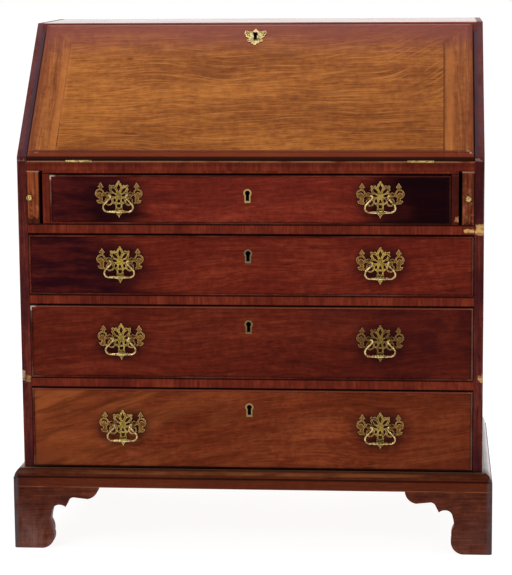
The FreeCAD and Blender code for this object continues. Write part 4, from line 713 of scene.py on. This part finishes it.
def loper_marks(place, colour):
    """Upright grain, dirt along the edges, a burnt lower corner, paler wear round the knob and a painted
    highlight along the top.
    """
    x, z = place.axes("XZ")
    left = x.rise(0.1, -0.1)
    colour = (left * 0.65).blend(colour, FADED)
    grain = place.drawn("z", 0.05).noise(260, detail=3)
    colour = (grain.rise(0.46, 0.6) * 0.6).blend(colour, DARK_GRAIN)
    wear_and_sheen = place.noise(90, detail=3).rise(0.5, 0.7) * z.between(0.66, 0.735, 0.02)
    colour = (wear_and_sheen * 0.35).blend(colour, KNOB_WEAR)
    rough = (place.noise(200, detail=3) - 0.5) * 0.006
    edge = (x.size() - LOPER_MIDDLE).size().rise(0.0095, 0.0115)
    burnt = (z + rough * 3 - left * 0.009).rise(loper_low.z + 0.006, loper_low.z)
    colour = (edge.most(burnt) * 0.8).blend(colour, BURNT_EDGE)
    # A pale highlight painted along the top edge
    crest = (z + rough * 0.5).rise(loper_high.z - 0.0035, loper_high.z - 0.0015)
    return (crest * 0.45).blend(colour, CREST_HIGHLIGHT)


LOPER_TONES = (tone(62, 24, 14), tone(98, 44, 27), tone(134, 70, 44))
KNOB_TONES = (tone(110, 86, 42), tone(198, 170, 104))
loper_wood = mahogany("loper_mahogany", "z", LOPER_TONES, 11.0, marks=(loper_marks,))
knob_brass = brass("knob_brass", KNOB_TONES, gloss=0.28)
dress(loper_wood, "loper_left", "loper_right", soften=UNEASED)
dress(knob_brass, "loper_left_knob", "loper_right_knob", soften=UNEASED)

# The fronts of the four drawers: mahogany, each a different board, dovetailed to the sides of its box.
# The upper ones have darkened towards their ends, where the wax has built up.
BURNT = tone(10, 0, 5)
PLUM = tone(30, 3, 12)


def ends_uneven(place, seed):
    """A ragged drift along the grain, for the edge of a stain."""
    streaks = place.moved(seed, seed, seed).drawn("x", 0.22).noise(22, detail=3, roughness=0.6)
    return (streaks - 0.5) * 0.24


def smoke(place, seed):
    """Long soft streaks along the grain, 0 to 1."""
    streaks = place.moved(seed, seed, seed).drawn("x", 0.2).noise(48, detail=3, roughness=0.6)
    return streaks.rise(0.36, 0.62)


first_front_low, first_front_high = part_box("drawer_1_front")
FIRST_MIDDLE = (first_front_low.z + first_front_high.z) / 2
FIRST_SMOKE = tone(70, 18, 16)


def first_marks(place, colour):
    """The first front, nearly black at both ends, with a dark pool under the left handle."""
    x, z = place.axes("XZ")
    up = z - FIRST_MIDDLE
    colour = (smoke(place, 9.0) * 0.22).blend(colour, FIRST_SMOKE)
    smudge = x.between(-0.2, -0.14, 0.03) * up.between(-0.006, 0.014, 0.014)
    colour = (smudge * smoke(place, 7.0) * 0.6).blend(colour, PLUM)
    drift = ends_uneven(place, 1.0)
    streaks = smoke(place, 5.0)
    inner = (x + drift).between(-0.345, -0.235, 0.04)
    dark = ((x + drift).rise(-0.16, -0.3) * (0.55 + streaks * 0.4)).most(inner * (0.72 + streaks * 0.27))
    colour = dark.blend(colour, PLUM)
    pool = (x + drift * 0.5).between(-0.335, -0.2, 0.035) * up.rise(0.015, -0.035)
    colour = (pool * 0.8).blend(colour, BURNT)
    return ((x + drift).rise(0.2, 0.315) * (0.975 + streaks * 0.02)).blend(colour, BURNT)


def second_marks(place, colour):
    """The second front, dark at its left end, most of all low down."""
    x, z = place.axes("XZ")
    drift = ends_uneven(place, 2.0)
    low = (z - 0.575) * 0.9
    dark = (x + drift + low).rise(-0.15, -0.3) * (0.6 + smoke(place, 6.0) * 0.37)
    return dark.blend(colour, PLUM)


THIRD_SMOKE = tone(54, 13, 10)
THIRD_TOP = tone(38, 10, 14)
THIRD_RIGHT = tone(54, 12, 13)
THIRD_BLOTCH = tone(44, 9, 13)


def third_marks(place, colour):
    """The third front, smoky, and blotched with dark wax towards the right."""
    x, z = place.axes("XZ")
    drift = ends_uneven(place, 3.0)
    colour = (smoke(place, 10.0) * 0.3).blend(colour, THIRD_SMOKE)
    top = (z + drift * 0.12).rise(0.446, 0.486) * x.between(0.11, 0.32, 0.05)
    colour = (top * 0.5).blend(colour, THIRD_TOP)
    colour = (x.rise(0.08, 0.3) * 0.35).blend(colour, THIRD_RIGHT)
    blotches = place.drawn("x", 0.5).noise(26, detail=3).rise(0.45, 0.64) * x.rise(0.2, 0.36)
    return (blotches * 0.6).blend(colour, THIRD_BLOTCH)


FOURTH_SMOKE = tone(72, 26, 12)
FOURTH_LEFT = tone(136, 70, 35)
FOURTH_BAND = tone(156, 84, 42)
FOURTH_RAY = tone(80, 33, 15)
FOURTH_RIGHT = tone(74, 28, 13)


def fourth_marks(place, colour):
    """The fourth front, faded at the left, where pale bands and dark rays cross it aslant."""
    x = place.axes("X")[0]
    drift = ends_uneven(place, 4.0)
    colour = (smoke(place, 11.0) * 0.28).blend(colour, FOURTH_SMOKE)
    colour = ((x + drift).rise(-0.2, -0.42) * 0.45).blend(colour, FOURTH_LEFT)
    bands = place.turned("Y", 0.4).drawn("x", 0.2).noise(22, detail=3)
    colour = (bands.rise(0.48, 0.66) * x.rise(0.1, -0.25) * 0.45).blend(colour, FOURTH_BAND)
    rays = place.turned("Y", 0.3).drawn("x", 0.11).noise(90, detail=3, roughness=0.6)
    colour = (rays.rise(0.5, 0.64) * x.rise(0.0, -0.22) * 0.55).blend(colour, FOURTH_RAY)
    return (x.rise(0.15, 0.4) * 0.25).blend(colour, FOURTH_RIGHT)


HANDLE = 0.256
BEAD_DIRT_AND_SHADE = tone(34, 10, 8)
HANDLE_DIRT_AND_SHADOW = tone(32, 6, 12)


def front_dirt_and_shade(number):
    """Wax and dirt with painted shade along the beads of a drawer front, a painted shadow line in the
    quirk, and dirt with painted shadow round its handles.
    """
    low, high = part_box(f"drawer_{number}_front")
    middle = (low.z + high.z) / 2
    half = middle - low.z

    def dirt(place, colour):
        x, z = place.axes("XZ")
        out = x.size()
        up = (z - middle).size()
        patchy = place.noise(40, detail=3).rise(0.3, 0.65)
        # Dirt and painted shade along the beads
        rim = out.rise(high.x - 0.009, high.x - 0.002).most(up.rise(half - 0.007, half - 0.0015))
        colour = (rim * patchy * 0.5).blend(colour, BEAD_DIRT_AND_SHADE)
        # A painted shadow line in the quirk inside the bead
        quirk = out.rise(high.x - 0.0024, high.x - 0.0012).most(up.rise(half - 0.0024, half - 0.0012))
        colour = (quirk * 0.8).blend(colour, PAINTED_SHADOW)
        # Dirt and painted shadow round the handles
        spread = ((out - HANDLE) * 0.75).reach(z - middle - 0.001)
        return (spread.rise(0.053, 0.024) * (0.55 + patchy * 0.45) * 0.85).blend(colour, HANDLE_DIRT_AND_SHADOW)

    return dirt


# Each front: its tones, how many degrees its grain climbs, and its marks
FRONTS = {
    1: ((tone(86, 26, 18), tone(114, 38, 26), tone(142, 57, 37)), 2, first_marks),
    2: ((tone(76, 20, 14), tone(99, 31, 20), tone(124, 49, 30)), 5, second_marks),
    3: ((tone(68, 19, 12), tone(93, 30, 18), tone(118, 47, 28)), 2, third_marks),
    4: ((tone(83, 30, 15), tone(110, 45, 23), tone(137, 67, 36)), 4, fourth_marks),
}
for number, (tones, climb, marks) in FRONTS.items():
    front_cut = {"lean": ("Y", math.radians(climb)), "sway": 0.07}
    over = (marks, front_dirt_and_shade(number))
    front_wood = mahogany(f"front_{number}_mahogany", "x", tones, 12.0 + number, marks=over, **front_cut)
    dress(front_wood, f"drawer_{number}_front", soften=FINELY_EASED)

# The cock beads round the fronts, thin mahogany slips glued into rebates, and the dovetailed oak boxes.
# The beads carry painted grey highlights, most of all at the left, and pale crests along the lower drawers.
BEAD_GREY_HIGHLIGHT = tone(128, 98, 84)
BEAD_END = tone(112, 98, 86)
BEAD_WAX = tone(34, 12, 13)
BEAD_CREST = tone(132, 70, 50)
BEAD_CORNER_HIGHLIGHT = tone(206, 180, 164)


def bead_marks(place, colour):
    """Painted grey highlights, dark wax at the top right, painted shade at the foot, pale crests and
    painted highlights at corners.
    """
    x, z = place.axes("XZ")
    # Grey highlights painted in patches, strongest at the left ends
    rubbed = place.stretched(0.35, 1, 0.35).noise(26, detail=3)
    leftward = 0.1 + x.rise(-0.05, -0.4) * 0.28
    colour = (rubbed.rise(0.54, 0.7) * leftward).blend(colour, BEAD_GREY_HIGHLIGHT)
    colour = (x.rise(0.424, 0.43) * rubbed.rise(0.4, 0.6) * 0.4).blend(colour, BEAD_END)
    first_foot = drawer_spans[0][0].z
    waxed_end = x.rise(0.2, 0.34) * z.rise(first_foot - 0.003, first_foot - 0.001)
    colour = (waxed_end * 0.65).blend(colour, BEAD_WAX)
    # Painted shade at the foot of the lowest drawer
    last_foot = drawer_spans[3][0].z
    shaded_foot = z.rise(last_foot + 0.0045, last_foot + 0.0025)
    colour = (shaded_foot * 0.85).blend(colour, PAINTED_SHADOW)
    for span in drawer_spans[2:]:
        head = span[1].z
        crest = z.between(head - 0.004, head, 0.0006)
        colour = (crest * 0.5).blend(colour, BEAD_CREST)
    # Pale highlights painted at the top left corners of the first and third drawers
    for low, high in (drawer_spans[0], drawer_spans[2]):
        corner = x.rise(low.x + 0.014, low.x + 0.006) * z.between(high.z - 0.009, high.z, 0.003)
        colour = (corner * 0.7).blend(colour, BEAD_CORNER_HIGHLIGHT)
    return colour


BEAD_TONES = (tone(50, 16, 11), tone(78, 28, 19), tone(108, 48, 32))
bead_wood = mahogany("bead_mahogany", "x", BEAD_TONES, 17.0, gloss=0.22, marks=(bead_marks,))
oak_box = bare_wood("oak_box", "y", OAK_TONES, 18.0)
for number in FRONTS:
    dress(bead_wood, f"drawer_{number}_beads", soften=UNEASED)
    dress(oak_box, f"drawer_{number}_box", soften=UNEASED)

# The brasses of the drawers: cast and pierced plates, held by the posts in which the swan-neck bails swing.
# A thin thread of brass lines each keyhole, and a brass bolt locks each drawer to the rail above.
KEY_DROP = 0.035
RIGHT_DULL = {1: 0.0, 2: 0.0, 3: 0.55, 4: 0.15}
DULL_PLATE = tone(84, 58, 30)
COPPER_EAR = tone(112, 68, 30)
GREEN_HUB = tone(168, 148, 58)
THREAD_TONES = {1: tone(190, 160, 108), 2: tone(112, 102, 82), 3: tone(116, 100, 66), 4: tone(150, 126, 84)}


def plate_tints(place, colour):
    """Copper in the ears of the plates, and a greener hub."""
    x = place.axes("X")[0]
    across = (x.size() - HANDLE).size()
    colour = (across.rise(0.015, 0.022) * 0.75).blend(colour, COPPER_EAR)
    return (across.rise(0.009, 0.004) * 0.35).blend(colour, GREEN_HUB)


def plate_marks(number):
    """Plates duller on the right of some drawers, and thin threads round keyholes painted black as shade.
    """
    keyhole = drawer_spans[number - 1][1].z - KEY_DROP

    def marks(place, colour):
        x, z = place.axes("XZ")
        colour = (x.rise(0.1, 0.2) * RIGHT_DULL[number]).blend(colour, DULL_PLATE)
        colour = (x.size().rise(0.03, 0.02) * 0.8).blend(colour, THREAD_TONES[number])
        return key_shape(x - LOCK, z - keyhole).blend(colour, KEYHOLE_SHADE)

    return marks


PLATE_TONES = {
    1: (tone(46, 29, 13), tone(180, 142, 76)),
    2: (tone(48, 30, 11), tone(184, 146, 66)),
    3: (tone(44, 28, 11), tone(168, 132, 62)),
    4: (tone(38, 26, 12), tone(158, 126, 62)),
}
BAIL_TONES = (tone(120, 88, 46), tone(226, 198, 138))
bail_brass = brass("bail_brass", BAIL_TONES, gloss=0.2, rough_cast=0.08)
for number, tones in PLATE_TONES.items():
    drawer = f"drawer_{number}"
    plate_finish = {"tints": (plate_tints,), "marks": (plate_marks(number),)}
    plate_brass = brass(f"plate_{number}_brass", tones, **plate_finish)
    dress(plate_brass, f"{drawer}_brasses", soften=FINELY_EASED)
    dress(old_brass, f"{drawer}_lock_bolt", soften=FILED)
    dress(bail_brass, f"{drawer}_bail_left", f"{drawer}_bail_right", soften=UNEASED)

# The fittings behind the fall: pigeonholes with arched aprons over four small drawers with turned knobs.
# They have been shut away from the light, and keep a redder and cleaner colour than the outside.
FITTING_TONES = (tone(96, 42, 24), tone(126, 62, 36), tone(154, 86, 52))
fitting_wood = mahogany("fitting_mahogany", "x", FITTING_TONES, 20.0)
divider_wood = mahogany("divider_mahogany", "y", FITTING_TONES, 21.0)
dress(fitting_wood, "pigeonhole_shelf", "pigeonhole_aprons")
dress(divider_wood, "pigeonhole_dividers")
dress(fitting_wood, *(f"small_drawer_{number}" for number in (1, 2, 3, 4)), soften=UNEASED)

# The floor of the studio: plain, pale and matt.
# It glows a little, so that the shadow under the case stays light.
FLOOR_SIZE = 80
FLOOR_GREY = 0.22
FLOOR_GLOW = 0.9
WHITE = (1.0, 1.0, 1.0, 1.0)
bpy.ops.mesh.primitive_plane_add(size=FLOOR_SIZE, location=(0, 0, 0))
floor = bpy.context.object
floor.name = "floor"
floor_paint, floor_shader = finish_of("floor_paint")[:2]
floor_shader.inputs["Base Color"].default_value = (FLOOR_GREY, FLOOR_GREY, FLOOR_GREY, 1.0)
floor_shader.inputs["Roughness"].default_value = 0.9
floor_shader.inputs["Specular IOR Level"].default_value = 0.0
floor_shader.inputs["Emission Color"].default_value = WHITE
floor_shader.inputs["Emission Strength"].default_value = FLOOR_GLOW
floor.data.materials.append(floor_paint)


# The lights: a key light at the left, a weaker one at the right, and one overhead.
# All are broad and soft, and none of them shows in the picture.
def softbox(name, place, aim, width, height, power):
    """A broad soft light at place, turned towards aim."""
    light = bpy.data.lights.new(name, "AREA")
    light.shape = "RECTANGLE"
    light.size = width
    light.size_y = height
    light.energy = power
    lamp = bpy.data.objects.new(name, light)
    lamp.location = place
    way_x, way_y, way_z = (end - start for end, start in zip(aim, place))
    flat = math.hypot(way_x, way_y)
    lamp.rotation_euler = (math.atan2(flat, -way_z), 0, math.atan2(-way_x, way_y))
    lamp.visible_camera = False
    bpy.context.collection.objects.link(lamp)


softbox("key_light", (-2.0, -2.8, 2.6), (0, 0, 0.6), width=1.6, height=1.6, power=44)
softbox("fill_light", (2.4, -2.8, 1.8), (0, 0, 0.5), width=1.6, height=1.8, power=20)
softbox("top_light", (0, 0.5, 3.0), (0, 0.5, 0), width=2.4, height=1.9, power=64)

# The room round them: bright behind the bureau and dim in front of it, so that the polish stays deep.
# To look at it is plain white.
ROOM_DIM = 0.28
ROOM_BACK = 0.72
world = bpy.data.worlds.new("studio")
world.use_nodes = True
backdrop = world.node_tree.nodes["Background"]
room = Shade(world.node_tree)
towards_back = room.add("TexCoord", {}, {}, output="Generated").axes("Y")[0]
looked_at = room.add("LightPath", {}, {}, output="Is Camera Ray")
room_light = ROOM_DIM + towards_back.rise(-0.4, 0.5) * ROOM_BACK
into(backdrop, "Strength", looked_at.most(room_light))
backdrop.inputs["Color"].default_value = WHITE
bpy.context.scene.world = world
bpy.context.scene.view_settings.view_transform = "Standard"

# The camera: a long lens to the right of the middle, looking a little down and to the left.
# Its focal length is in pixels of the picture's height, and its angles are in radians.
PICTURE_HEIGHT = 575
FOCAL = 1998.0
SENSOR = 36
LOOK_DOWN = 0.1438
LOOK_LEFT = 0.0753
ROLL = -0.0063
camera_data = bpy.data.cameras.new("camera")
camera_data.sensor_width = SENSOR
camera_data.lens = FOCAL / PICTURE_HEIGHT * SENSOR
camera_data.shift_x = -0.05
camera_data.shift_y = -0.08
camera = bpy.data.objects.new("camera", camera_data)
camera.location = (0.36, -4.0922, 1.1799)
camera.rotation_mode = "QUATERNION"
facing = Euler((math.pi / 2 - LOOK_DOWN, 0, LOOK_LEFT)).to_quaternion()
camera.rotation_quaternion = facing @ Quaternion((0, 0, 1), ROLL)
bpy.context.collection.objects.link(camera)
bpy.context.scene.camera = camera
